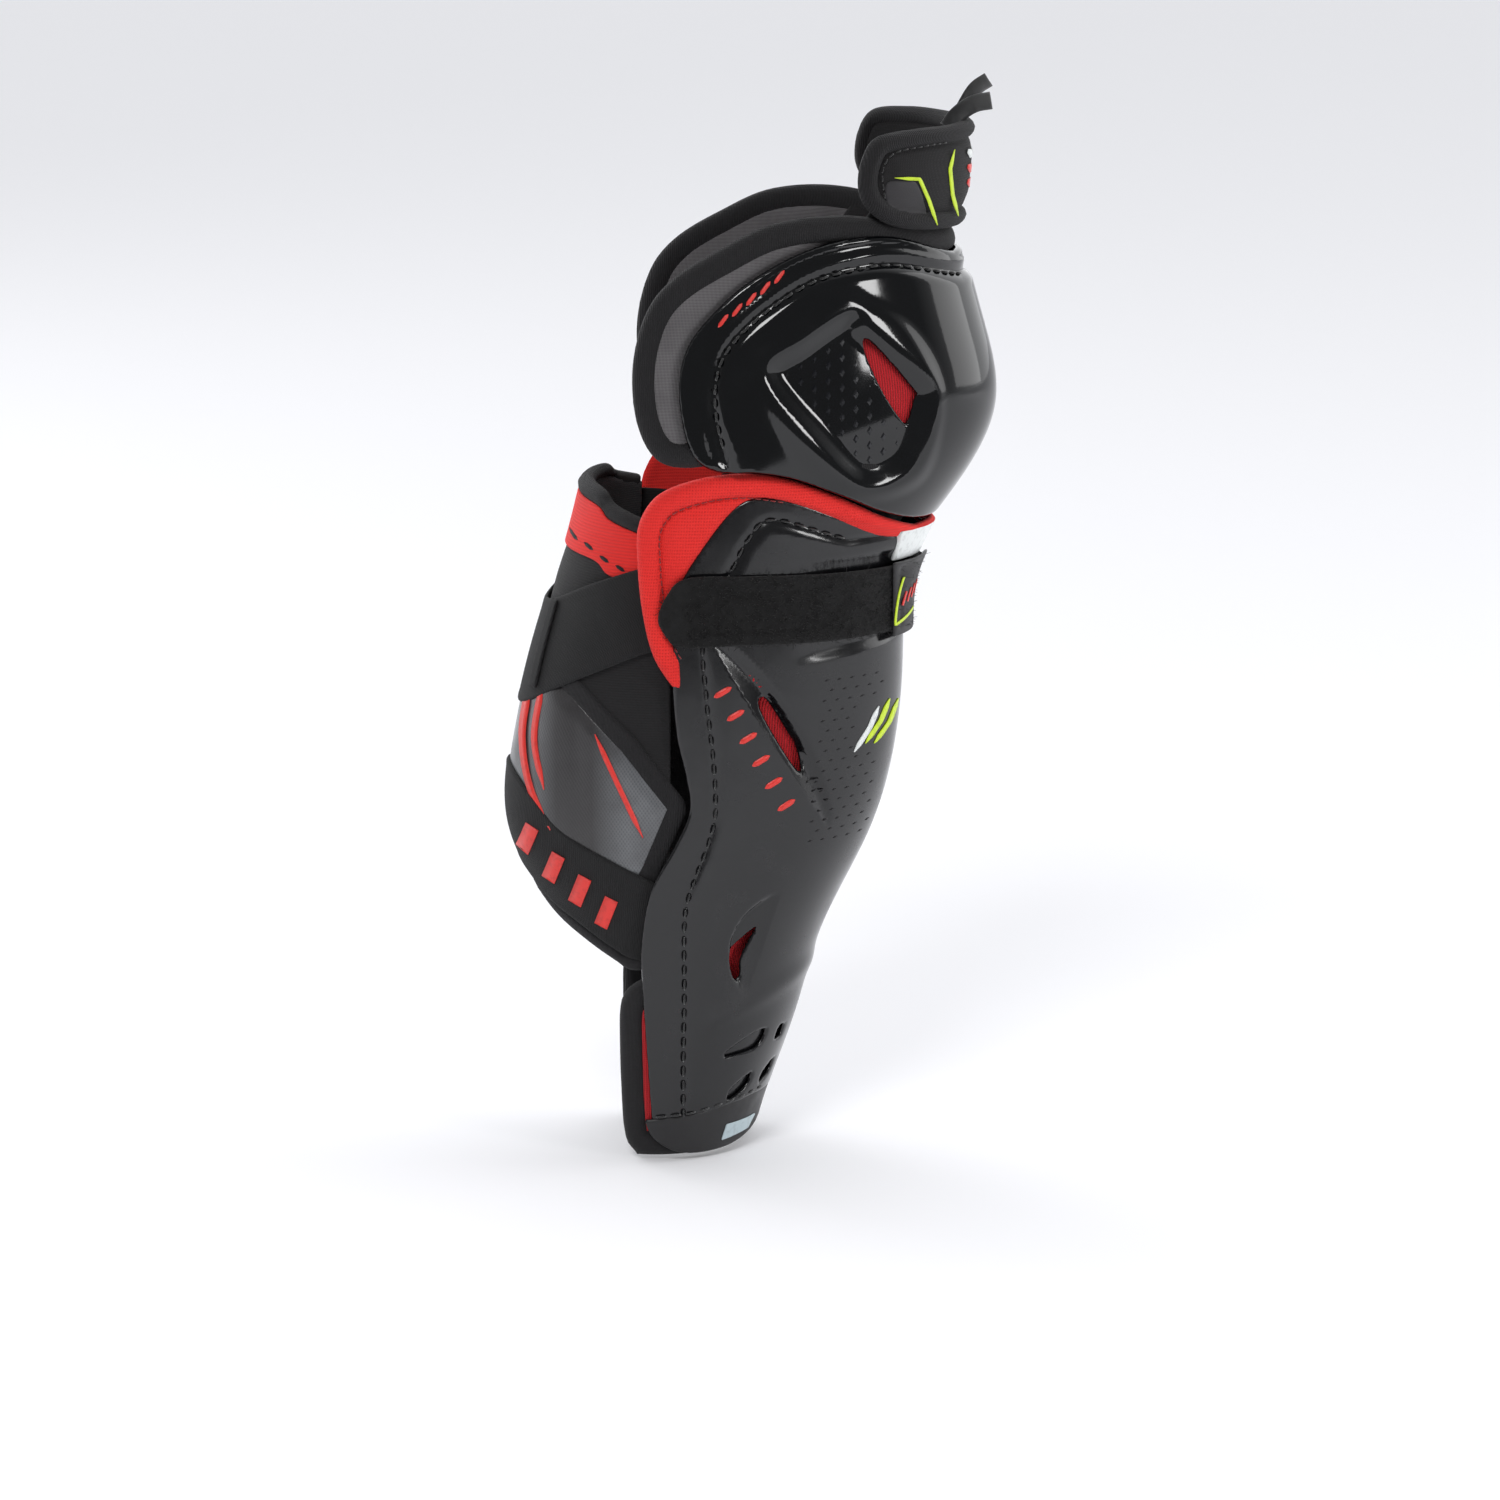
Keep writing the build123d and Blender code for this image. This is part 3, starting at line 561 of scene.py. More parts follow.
ELASTIC_LOOK = fabric("elastic", (17, 16, 18), (6, 6, 7), 1.35, "twill", 0.25, 0.03)
STRETCH_LOOK = fabric("black_mesh", (15, 13, 15), (7, 6, 7), 0.9, "knit", 0.1, 0.03)
BRUSHED_LOOK = fabric("brushed_liner", (40, 40, 43), (20, 20, 22), 0.8, "knit", 0.15, 0.2)
RIBBON_LOOK = fabric("ribbon", (26, 26, 28), (12, 12, 13), 0.5, "rib", 0.05, 0.5, 0.35)
PILE_LOOK = fabric("loop_pile", (13, 12, 13), (4, 4, 4), 0.9, "mesh", 0.3, 0.06, 0.95)
THREAD_LOOK = fabric("black_thread", (14, 14, 15), (9, 9, 10), 0.6, "twill", 0.1, 0.4, 0.5)
RED_THREAD_LOOK = fabric("red_thread", (150, 18, 20), (90, 8, 10), 0.6, "twill", 0.1, 0.3, 0.6)
PATCH_LOOK = fabric("flap_patch", (40, 38, 41), (32, 30, 32), 0.5, "knit", 0.03, 0.05, 0.6)
RED_PRINT = printed("red_print", (228, 52, 44))
LIME_PRINT = printed("lime_print", (205, 232, 40))
WHITE_PRINT = printed("white_print", (232, 236, 235), 0.3)
GREY_PRINT = printed("label_print", (178, 194, 200), 0.35)


def plate_look():
    """Woven composite sheet under a satin film, lighter towards its edges."""
    look = Look("composite_plate", linear(104, 106, 109), 0.34, Coat_Weight=0.4, Coat_Roughness=0.2)
    u, v = look.uv()
    weave = look.math("MULTIPLY", look.wave(u, 2.2), look.wave(v, 2.2))
    look.tint(weave, linear(72, 74, 77), -0.2, 1.2)
    place = look.node("SeparateXYZ", i0=look.node("TexCoord").outputs["Object"]).outputs[0]
    middle = look.math("ABSOLUTE", look.math("ADD", place, 0.034))
    look.tint(middle, linear(40, 38, 39), 0.024, 0.008)
    look.tint(look.noise(30, 4), linear(52, 50, 52), 0.45, 0.8)
    look.relief(weave, 0.08, 0.5)
    look.vary_roughness(look.noise(60, 4), 0.28, 0.5)
    return look.material


PLATE_LOOK = plate_look()


def area_of(outline, shift=0.0):
    """Depth function of a closed outline, shrunk by shift."""
    return lambda x, z, a: depth(outline, x, z) - shift


def ring_of(outline, width, start=0.0):
    """Depth function of a band that follows an outline's inside."""
    def band(x, z, a):
        d = depth(outline, x, z) - start
        return np.minimum(d, width - d)
    return band


def one_side(area, side):
    """The same area, on the outer (-1) or inner (1) side only."""
    return lambda x, z, a: np.minimum(area(x, z, a), np.sin(a) * side * HALF_WIDTH)


def slot_of(material):
    """The record's material slot with the same name; Blender may have numbered the material."""
    return material.name.split(".")[0]


def add(piece, body, *nodes, slot=None):
    """Let a piece ride a body and hide the CAD nodes that it replaces; the slot is looked up but never given
    to the piece.
    """
    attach(piece, body)
    if nodes:
        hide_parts(*nodes)
        slot or slot_of(piece.data.materials[0])
    return piece


def part(name, body, nodes, sections, area, top, bottom, material, slot=None, fill=None, **shape):
    """A skin in place of CAD nodes; fill, how tight a padded one is, is not used."""
    piece = add(skin(name, sections, area, top, bottom, material, **shape), body, *nodes, slot=slot)


# ---- shin shell
SHELL_FOOT = [(FAR_FRONT, 25), (46, 25), (29, 22), (14, 19)]
SHELL_AREA = np.vstack([to_front(SHELL_EDGE)[:-1], SHELL_FOOT])
SHELL_BODY = np.vstack([SHELL_STITCH, [(FAR_FRONT, 283), (FAR_FRONT, 19)]])


def gouge(x, z, start, end, width, side):
    """Scooped facet that slopes down from a straight ridge and ends at a steep wall."""
    (x0, z0), (x1, z1) = start, end
    along = ((x - x0) * (x1 - x0) + (z - z0) * (z1 - z0)) / ((x1 - x0) ** 2 + (z1 - z0) ** 2)
    across = gouge_line(x, z, start, end, width, side)
    reach = width * np.sin(np.clip(along, 0, 1) * math.pi) ** 0.7 + 1e-3
    return np.clip(across / reach, 0, 1) * (1 - ease((across - reach) / 2.2)) * np.clip(reach / width, 0, 1)


def gouge_line(x, z, start, end, width, side):
    """Distance from a gouge's ridge, positive on the side that it slopes down to."""
    (x0, z0), (x1, z1) = start, end
    return ((x - x0) * (z1 - z0) - (z - z0) * (x1 - x0)) / math.hypot(x1 - x0, z1 - z0) * side


def shell_depth(x, z, a):
    d = depth(SHELL_AREA, x, z)
    for hole in VENTS + DISHES:
        d = np.minimum(d, -depth(hole, x, z))
    return d


def shell_form(x, z, a, d):
    """Relief of the shell: sewing flange, raised body, creases, strap ledge and a raised line; the low dishes
    are cut as holes by shell_depth.
    """
    body = depth(SHELL_BODY, x, z)
    out = -1.1 * (1 - ease((body + 0.5) / 5))
    out -= 0.7 * np.exp(-(body / 1.3) ** 2)
    out -= 4.6 * gouge(x, z, *UPPER_GOUGE) + 4.2 * gouge(x, z, *LOWER_GOUGE)
    front_ledge = ease((x - 62) / 20)
    out -= 1.5 * front_ledge * ease((z - 229 - 0.12 * (x - 75)) / 3) * (1 - ease((z - 272) / 4))
    ridge = z - 62 - 0.42 * (x - 22)
    out += 1.1 * np.exp(-(ridge / 5.0) ** 2) * ease((x - 20) / 10)
    return out


part(
    "shin_shell_moulding", "shin", ["shin_shell"], SHIN, shell_depth, shell_form,
    lambda x, z, a, d: np.minimum(shell_form(x, z, a, d) - 2.3, -2.4), SHELL_LOOK, step=1.7,
    z_range=(16, 306),
    features=[(area_of(SHELL_BODY), (-1.5, 0, 1.5)),
              (lambda x, z, a: gouge_line(x, z, *UPPER_GOUGE), (0,)),
              (lambda x, z, a: gouge_line(x, z, *LOWER_GOUGE), (0,))])


def recess_depth(x, z, a):
    return np.max([depth(dish, x, z) for dish in DISHES], axis=0) + 1.2


add(skin(
    "shell_recess_floor", SHIN, recess_depth, -2.3, -2.85, SHELL_LOOK, step=1.2, z_range=(22, 62),
    rings=(0.2,)), "shin")

shell_seams = [stitch_line(SHIN, SHELL_STITCH, side, -0.9) for side in BOTH]
bottom_seam = [(2, 20.5), (16, 21.7), (31, 24.5), (46, 27.3), (50.5, 27.6)]
shell_seams += [stitch_line(SHIN, smooth(bottom_seam), side, 0.1) for side in BOTH]
add(stitches("shell_stitching", shell_seams, THREAD_LOOK, 4.0, 2.8, 0.42), "shin")

for side, side_name in ((-1, "outer"), (1, "inner")):
    part(
        "ankle_tab_" + side_name + "_flap", "shin", ["ankle_tab_" + side_name], SHIN,
        one_side(area_of(ANKLE_AREA), side), -0.2, -2.6, TAB_LOOK, slot="shell_plastic", z_range=(0, 28),
        step=1.6)


# ---- shin liner
def hollow(x, z):
    """How far the liner is pressed in behind the shell's vents."""
    return 5.2 * ease((np.max([depth(area, x, z) for area in HOLLOWS], axis=0) + 2) / 6)


part(
    "liner_red_cover", "shin", ["shin_liner_cover"], SHIN, area_of(LINER_AREA, 12),
    lambda x, z, a, d: -2.9 - hollow(x, z), lambda x, z, a, d: -4.4 - hollow(x, z), LINER_RED_LOOK,
    slot="red_fabric", step=2.6, z_range=(0, 300))


def quilt(x, z, a, d):
    """Inner face of the liner: foam ribs between sewn channels."""
    pitch = 24
    channel = np.abs(((z + 7 * np.cos(2 * a)) / pitch) % 1 - 0.5) * pitch
    spine = np.abs(np.abs(a) - 0.55) * 62
    return -10.8 + 2.0 * (np.exp(-(channel / 2.2) ** 2) + np.exp(-(spine / 2.2) ** 2))


part(
    "liner_foam_pad", "shin", ["shin_foam"], SHIN, area_of(LINER_AREA, 8.5),
    lambda x, z, a, d: -4.7 - hollow(x, z), quilt, BRUSHED_LOOK, slot="foam", fill=0.8, step=2.4,
    rings=(1, 3, 5), z_range=(0, 300))


def roll(width, high, low):
    """Faces of a rounded edge binding that wraps an edge."""
    middle, half = (high + low) / 2, (high - low) / 2

    def faces(sign):
        def offset_of(x, z, a, d):
            return middle + sign * half * (0.7 + 0.3 * np.sqrt(np.clip(d / (width / 2), 0, 1)))
        return offset_of
    return faces(1), faces(-1)


high, low = roll(11, -2.6, -11.6)
part(
    "liner_edge_binding", "shin", ["liner_binding"], SHIN, ring_of(LINER_AREA, 13.5), high, low, BINDING_LOOK,
    step=2.2, rings=(0.8, 2.2, 4), z_range=(0, 300))

# ---- red wings
WING_AREA = to_front(WING_EDGE)


def wing_depth(x, z, a):
    return np.minimum(depth(WING_AREA, x, z), 3.5 - depth(SHELL_AREA, x, z))


def wing_form(x, z, a, d):
    edge = depth(WING_AREA, x, z)
    bulge = np.sqrt(np.clip(1 - ((edge - 5.2) / 5.2) ** 2, 0, 1)) * (edge < 10.4)
    panel = 1.2 * ease((edge - 11) / 6) * ease((-depth(SHELL_AREA, x, z) + 2) / 5)
    under_shell = ease((depth(SHELL_AREA, x, z) + 1.0) / 2)
    return -1.0 + 3.2 * bulge + panel - 1.6 * under_shell - 0.7 * np.exp(-((edge - 10.6) / 0.9) ** 2)


part(
    "wing_cover_and_piping", "shin", ["wing_piping", "wing_outer", "wing_inner"], SHIN, wing_depth, wing_form,
    -3.2, RED_LOOK, fill=0.6, step=1.6, rings=(0.6, 1.8, 3.2), z_range=(214, 318),
    features=[(area_of(WING_AREA), (5.2, 8.2, 10.6, 12))])


def inset_line(points, shift):
    """A smooth line moved sideways, to its right."""
    line = smooth(points)
    return line - shift * across_of(line)


wing_seam = inset_line(WING_EDGE[1:10], 10.6)
add(stitches(
    "wing_stitching", [stitch_line(SHIN, wing_seam[4:], side, -0.4) for side in BOTH], RED_THREAD_LOOK, 2.2,
    1.2, 0.3), "shin")

# ---- knee shell
KNEE_BODY = np.vstack([KNEE_STITCH, [(40, 280), (FAR_FRONT, 280), (FAR_FRONT, 396)]])


def knee_depth(x, z, a):
    return np.minimum(depth(KNEE_AREA, x, z), -depth(KNEE_WINDOW, x, z))


def knee_form(x, z, a, d):
    """Relief of the knee cap: rolled rim, groove, dome, ridge and recess; the recess's diamond studs are
    built separately.
    """
    body, edge = depth(KNEE_BODY, x, z), depth(KNEE_AREA, x, z)
    out = -2.4 * (1 - ease((body + 1.5) / 6))
    out -= 0.9 * np.exp(-(body / 1.4) ** 2)
    out += 1.0 * np.exp(-((body + 5) / 2.0) ** 2) * ease((edge - 1) / 2)
    out += 1.0 * np.exp(-((edge - 1.6) / 1.4) ** 2) * (body < 0)
    ridge = depth(KNEE_RIDGE, x, z)
    dish = depth(KNEE_DISH, x, z)
    out += 1.6 * ease((ridge + 1) / 8) * (1 - ease((dish + 5) / 6))
    out -= 3.6 * ease((dish + 2.0) / 9)
    return out


part(
    "knee_cap_moulding", "knee", ["knee_shell"], KNEE, knee_depth, knee_form,
    lambda x, z, a, d: knee_form(x, z, a, d) - 2.5, GLOSS_LOOK, step=1.35, angles=(-1.75, 1.75),
    z_range=(286, 419), rings=(0.35, 1.1),
    features=[(area_of(KNEE_BODY), (-7, -5, -3, -1.4, 0, 1.4)), (area_of(KNEE_DISH), (-2, 2, 7))])
add(stitches(
    "knee_stitching", [stitch_line(KNEE, KNEE_STITCH, side, -2.1) for side in BOTH], THREAD_LOOK, 3.4, 2.6,
    0.55), "knee")


def studs(name, material):
    """Staggered diamond bosses in the knee cap's recess, smaller towards its border."""
    parts, diamond = [], ((1.5, 0.3), (0, 2.5), (-1.5, -0.3), (0, -2.5))
    for column in range(-5, 6):
        for row in range(-6, 7):
            x, z = 86 + 6.2 * column, 346 + 6.6 * row + 3.3 * (column % 2)
            room = min(float(depth(KNEE_DISH, x, z)) - 4, -float(depth(KNEE_WINDOW, x, z)) - 2)
            size = float(ease(room / 6))
            if size < 0.15:
                continue
            for side in BOTH:
                ring = np.array([
                    (x + du * size * reach, z + dz * size * reach) for reach in (1, 0.5)
                    for du, dz in diamond])
                form = float(knee_form(np.array([x]), np.array([z]), 0, 0)[0])
                lower = line_points(KNEE, ring[:4], side, form - 0.3)
                upper = line_points(KNEE, ring[4:], side, form + 0.75 * size)
                faces = [[4, 5, 6, 7]] + [[i, (i + 1) % 4, 4 + (i + 1) % 4, 4 + i] for i in range(4)]
                faces.append([3, 2, 1, 0])
                parts.append((np.vstack([lower, upper]), [f[::-side] for f in faces]))
    piece = joined(name, parts, material)
    piece.data.polygons.foreach_set("use_smooth", [False] * len(piece.data.polygons))
    return piece


# The studs' lighter plastic is a painted glint.
add(studs("knee_diamond_studs", STUD_GLINT_LOOK), "knee")

# ---- knee padding
part(
    "knee_red_pad", "knee", ["knee_pad"], KNEE, area_of(KNEE_AREA, 6), -6.2, -7.9, LINER_RED_LOOK,
    slot="red_fabric", step=3, angles=(-1.8, 1.8))


def knee_mesh_form(x, z, a, d):
    return -5.2 - 3.0 * ease((depth(KNEE_AREA, x, z) + 3) / 6)


part(
    "knee_mesh_liner", "knee", ["knee_liner"], KNEE, area_of(KNEE_LINER_AREA, 8), knee_mesh_form,
    lambda x, z, a, d: -10.2 - 1.2 * ease((d - 6) / 20), GREY_MESH_LOOK, fill=0.7, step=2.2,
    angles=(-2.2, 2.2), rings=(1, 2.5))
high, low = roll(11.5, -2.8, -11.2)
part(
    "knee_edge_binding", "knee", ["knee_binding"], KNEE, ring_of(KNEE_LINER_AREA, 11.5), high, low,
    BINDING_LOOK, step=2, angles=(-2.3, 2.3), rings=(0.8, 2.2, 4.2))


def donut_depth(x, z, a):
    centre, radius, half_width = 358, 22, 9
    return half_width - np.abs(np.hypot(a * FRONT_RADIUS, z - centre) - radius)


def donut_form(x, z, a, d):
    return -12.0 - 4.5 * np.sqrt(np.clip(d / 9, 0, 1))


part(
    "knee_cup_ring", "knee", ["knee_donut"], KNEE, donut_depth, -11.6, donut_form, BRUSHED_LOOK, slot="foam",
    fill=0.9, step=2, angles=(-0.6, 0.6), rings=(1, 3), z_range=(322, 394))


# ---- thigh flap
def flap_form(x, z, a, d):
    edge = depth(FLAP_AREA, x, z)
    groove = np.exp(-((edge - 8.2) / 1.0) ** 2)
    return -1.2 + 1.5 * ease((edge - 9) / 7) - 1.0 * groove


part(
    "thigh_flap_pad", "thigh", ["thigh_cover", "thigh_foam"], THIGH, area_of(FLAP_AREA, 6), flap_form, -8.2,
    STRETCH_LOOK, fill=0.7, step=1.6, angles=(-1.4, 1.4), rings=(1, 3), z_range=(412, 466))
high, low = roll(8.5, 0.6, -8.8)
part(
    "thigh_flap_binding", "thigh", ["thigh_binding"], THIGH, ring_of(FLAP_AREA, 8.5), high, low, BINDING_LOOK,
    step=1.6, angles=(-1.5, 1.5), rings=(0.8, 2, 4), z_range=(412, 466))


def strip(name, sections, path, width, sides, out, material, thick=0.5, taper=True, curved=False):
    """A thin printed line along a side-view path, pointed at its ends."""
    parts = []
    line = resample(smooth(path, 6) if curved else np.array(path, float), 1.2)
    along = np.linspace(0, 1, len(line))
    half = width / 2 * (np.minimum(1, 5 * np.minimum(along, 1 - along) + 0.12) if taper else 1 + 0 * along)
    across = across_of(line) * half[:, None]
    edges = [(edge, out(*edge.T) if callable(out) else out) for edge in (line + across, line - across)]
    for side in sides:
        rows = [
            line_points(sections, edge, side, level + rise) for rise in (thick, 0) for edge, level in edges]
        parts.append((np.vstack(rows), [f[::-side] for f in bar_faces(len(line))]))
    return joined(name, parts, material)


def marks(name, body, sections, paths, width, sides, out, material, thick, **options):
    """Printed lines of one kind, numbered from 1."""
    for k, path in enumerate(paths):
        piece = strip("%s_%d" % (name, k + 1), sections, path, width, sides, out, material, thick, **options)
        add(piece, body)


marks(
    "flap_lime_line", "thigh", THIGH,
    [[(106.5, 443), (117.5, 441.5), (121.5, 432), (125.5, 420)],
     [(133, 452.5), (131, 444), (132.3, 432), (135, 422)]],
    1.5, BOTH, 0.45, LIME_PRINT, 0.3)

PATCH_AREA = smooth([
    (104, 441), (112, 441), (116, 440), (120, 431), (122, 425), (110, 426), (104, 433)], 4, closed=True)
for side, side_name in ((-1, "outer"), (1, "inner")):
    part(
        "flap_smooth_patch_" + side_name, "thigh", ["thigh_patch_" + side_name], THIGH,
        one_side(area_of(PATCH_AREA), side), lambda x, z, a, d: flap_form(x, z, a, d) + 0.45,
        lambda x, z, a, d: flap_form(x, z, a, d) - 0.3, PATCH_LOOK, slot="grey_mesh", step=1.5,
        angles=(-1.5, 1.5), rings=(0.3,), z_range=(420, 452))
for k in range(3):
    add(strip(
        "flap_front_mark_%d" % (k + 1), THIGH, [(139.3, 451 - 7 * k), (141.5, 446 - 7 * k)], 2.0, BOTH, 0.45,
        RED_PRINT if k else WHITE_PRINT, 0.3), "thigh")
flap_seam = [(103, 434), (102, 446), (107, 453.5), (120, 455.5), (132, 456)]
add(stitches(
    "flap_stitching", [stitch_line(THIGH, smooth(flap_seam), side, -0.6) for side in BOTH], THREAD_LOOK, 2.4,
    1.4, 0.3), "thigh")


def ribbon_loop(name, path, width, y_path, lean):
    """Folded satin ribbon, its broad side to the outer side, along a side-view path."""
    curve = smooth(path, 8)
    y = np.interp(np.linspace(0, 1, len(curve)), np.linspace(0, 1, len(y_path)), y_path)
    line = resample(np.column_stack([curve, y]), 1.0)
    sideways = across_of(line[:, :2]) * width
    rows = []
    for across in np.linspace(-0.5, 0.5, 7):
        cup = 1.0 * (1 - (2 * across) ** 2) * np.sin(np.linspace(0.4, 5, len(line)))
        x, z = (line[:, :2] + sideways * across).T
        rows.append(np.stack([x, line[:, 2] + cup + across * width * lean, z], -1))
    front = np.vstack(rows)
    return build(
        name, np.vstack([front, front + np.array([0, 0.5, 0])]), slab_faces(len(rows), len(line)),
        RIBBON_LOOK, uv=np.tile(front[:, ::2], (2, 1)))


add(ribbon_loop(
    "pull_ribbon_front", [(131, 459), (135, 465), (142, 470), (150, 471.5)], 7.5, (-6, -9, -10, -8), 0.3),
    "thigh", "pull_ribbon")
add(ribbon_loop(
    "pull_ribbon_rear", [(133, 459), (138, 468), (143, 476), (149, 480)], 7.0, (-3, -5, -4, -2), -0.4),
    "thigh")

# ---- calf wrap
CALF_AREA = between(CALF_TOP, CALF_BOTTOM[::-1])
HINGE_X = -9.5
BACK = (math.pi / 2 - 0.75, 3 * math.pi / 2 + 0.75)


def wrap(area, seam_x=HINGE_X):
    """An area of the calf wrap: behind its free edge outside, behind its hinge line inside."""
    def trimmed(x, z, a):
        d = np.minimum(area(x, z, a), -depth(FREE_AREA, x, z))
        inner = np.sin(a) > 0
        return np.where(inner, np.minimum(d, seam_x - x), d)
    return trimmed


def calf_piece(
        name, area, top, bottom, material, node, slot=None, fill=None, step=2.2, rings=(0.3, 0.9),
        z_range=(80, 310), seam_x=HINGE_X):
    part(
        name, "calf", [node], SHIN, wrap(area, seam_x), top, bottom, material, slot, fill, step=step,
        rings=rings, angles=BACK, z_range=z_range)


def moved(points, dz):
    return [(x, z + dz) for x, z in points]


TOP_BINDING = between(CALF_TOP, moved(CALF_TOP, -8))
TOP_BAND = between(moved(CALF_TOP, -7), moved(CALF_TOP, -31))
BOTTOM_BINDING = between(moved(CALF_BOTTOM, 9), CALF_BOTTOM)


def plate_form(x, z, a, d):
    ridge = np.sin(np.clip((x + 62) / 26, 0, 1) * math.pi)
    return -6.4 + 0.8 * ease(d / 5) + 0.9 * ridge * ease(d / 8)


calf_piece(
    "calf_composite_plate", area_of(PLATE_AREA), plate_form, -8.3, PLATE_LOOK, "calf_plate",
    z_range=(118, 226))
calf_piece(
    "calf_plate_edging", lambda x, z, a: 4.6 - np.abs(depth(PLATE_AREA, x, z) + 3.8), -5.9, -8.4,
    BINDING_LOOK, "calf_plate_binding", rings=(0.6, 1.8), step=2, z_range=(108, 236))
calf_piece(
    "calf_stretch_cover", area_of(CALF_AREA, 3), lambda x, z, a, d: -7.1 - 0.25 * np.sin(z / 5 + 3 * a), -8.6,
    STRETCH_LOOK, "calf_fabric")


def calf_quilt(x, z, a, d):
    pitch = 26
    channel = np.abs((z / pitch) % 1 - 0.5) * pitch
    return -13.2 + 1.8 * np.exp(-(channel / 2.4) ** 2)


calf_piece(
    "calf_foam_pad", area_of(CALF_AREA, 3), -8.9, calf_quilt, BRUSHED_LOOK, "calf_foam", slot="foam",
    fill=0.7, rings=(1, 3), step=2.6)
calf_piece("calf_red_band", area_of(TOP_BAND), -5.9, -7.4, RED_LOOK, "calf_top_band", z_range=(255, 300))
high, low = roll(9, -5.0, -13.2)
calf_piece(
    "calf_top_edging", area_of(TOP_BINDING), high, low, BINDING_LOOK, "calf_top_binding", rings=(0.8, 2, 4),
    z_range=(278, 308))
calf_piece(
    "calf_bottom_edging", area_of(BOTTOM_BINDING), high, low, BINDING_LOOK, "calf_bottom_binding",
    rings=(0.8, 2, 4), z_range=(84, 150))


def strap_form(top, bottom, out):
    """Elastic webbing: a flat band with thicker woven edges."""
    area = between(top, bottom)

    def face(x, z, a, d):
        edge = depth(area, x, z)
        return out + 0.25 * np.exp(-((edge - 1.6) / 1.0) ** 2) - 0.15 * np.sin(x / 9.0)
    return area, face


UPPER_STRAP_AREA, upper_face = strap_form(UPPER_STRAP_TOP, UPPER_STRAP_BOTTOM, -4.4)
LOWER_STRAP_AREA, lower_face = strap_form(LOWER_STRAP_TOP, LOWER_STRAP_BOTTOM, -4.5)
calf_piece(
    "upper_elastic_strap", area_of(UPPER_STRAP_AREA), upper_face, -6.0, ELASTIC_LOOK, "upper_strap",
    z_range=(186, 280), seam_x=-24)
calf_piece(
    "lower_elastic_strap", area_of(LOWER_STRAP_AREA), lower_face, -6.2, ELASTIC_LOOK, "lower_strap",
    z_range=(88, 194), seam_x=-24)

# ---- soft pieces across the inner seam
SEAM_AREA = np.array([
    (-26, 91), (8, 91), (10, 118), (21, 146), (27, 162), (26, 176), (21, 200), (17, 236), (17, 262),
    (21, 276), (8, 286), (-26, 290)], float)


def inner_piece(name, area, top, bottom, material, node, z_range=(84, 300)):
    """A piece of the inner side, in place of its CAD node; it is not attached to the wrap or to any body."""
    piece = skin(
        name, SHIN, one_side(area, 1), top, bottom, material, step=2.2, rings=(0.3, 0.9), angles=(0.1, 2.9),
        z_range=z_range)
    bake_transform(piece)
    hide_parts(node)


inner_piece("calf_inner_seam_panel", area_of(SEAM_AREA), -6.6, -8.2, STRETCH_LOOK, "calf_seam_panel")


def over_edge(level):
    """Offset of a strap that runs from under the wing's rear to the outside of the shell."""
    return lambda x, z, a, d: level - (level + 4.4) * (1 - ease((x + 22) / 24))


UPPER_TAIL_AREA = np.vstack([
    smooth([(-40, 257), (-30, 262), (-8, 270), (20, 269), (70, 267), (118, 267)]),
    [(FAR_FRONT, 267), (FAR_FRONT, 236)], smooth([(118, 236), (70, 236), (20, 236), (-8, 232), (-40, 217)])])
LOWER_TAIL_AREA = np.vstack([
    smooth([(-40, 149), (-18, 137), (-4, 128), (20, 123), (43.6, 121)]),
    smooth([(43.6, 92), (20, 93), (-4, 93), (-20, 98), (-40, 108)])])
inner_piece(
    "upper_strap_inner_end", area_of(UPPER_TAIL_AREA), over_edge(4.3),
    lambda x, z, a, d: over_edge(4.3)(x, z, a, d) - 1.6, ELASTIC_LOOK, "upper_strap_tail", z_range=(212, 275))
inner_piece(
    "lower_strap_inner_end", area_of(LOWER_TAIL_AREA), over_edge(2.9),
    lambda x, z, a, d: over_edge(2.9)(x, z, a, d) - 1.6, ELASTIC_LOOK, "lower_strap_tail", z_range=(88, 155))


def fuzz(name, sections, area, out, material, count, angles, z_range, seed):
    """Short curled fibres standing on a loop pile."""
    random = np.random.default_rng(seed)
    a = random.uniform(angles[0], angles[1], count * 4)
    z = random.uniform(z_range[0], z_range[1], count * 4)
    x = sections.place(a, z, 0)[:, 0]
    keep = np.flatnonzero(area(x, z, a) > -0.4)[:count]
    parts = []
    for k in keep:
        spot = a[k:k + 1], z[k:k + 1]
        base, tip = sections.place(*spot, out)[0], sections.place(*spot, out + 1)[0]
        normal = tip - base
        lean = random.normal(0, 0.85, 3)
        height = random.uniform(0.7, 1.9)
        points = [base, base + normal * height * 0.6 + lean * 0.5, base + normal * height + lean * 1.3]
        parts.append(tube(points, np.array([0.16, 0.13, 0.05]), 3))
    return joined(name, parts, material)


# ---- landing strip, tabs, prints
LANDING_AREA = np.vstack([
    smooth([(10, 239), (4, 250), (8, 262), (16, 269), (40, 269.5), (80, 268.5), (120, 268)]),
    [(FAR_FRONT, 268), (FAR_FRONT, 238)], smooth([(120, 238), (80, 237.5), (40, 238), (18, 237.5)])])


def pile_form(x, z, a, d):
    bump = 0.25 * np.sin(x * 2.1 + 3 * np.sin(z * 1.7)) * np.cos(z * 2.3 + 2 * np.sin(x * 1.3))
    over_wing = 1.6 * (1 - ease((x - 10) / 10))
    seam = np.exp(-((np.abs(z - 253) - 8.5) / 0.9) ** 2) * (x > 28) * (x < 71)
    seam = np.maximum(seam, np.exp(-((np.abs(x - 49.5) - 21) / 0.9) ** 2) * (np.abs(z - 253) < 9))
    return 2.1 + bump + over_wing - 0.8 * seam


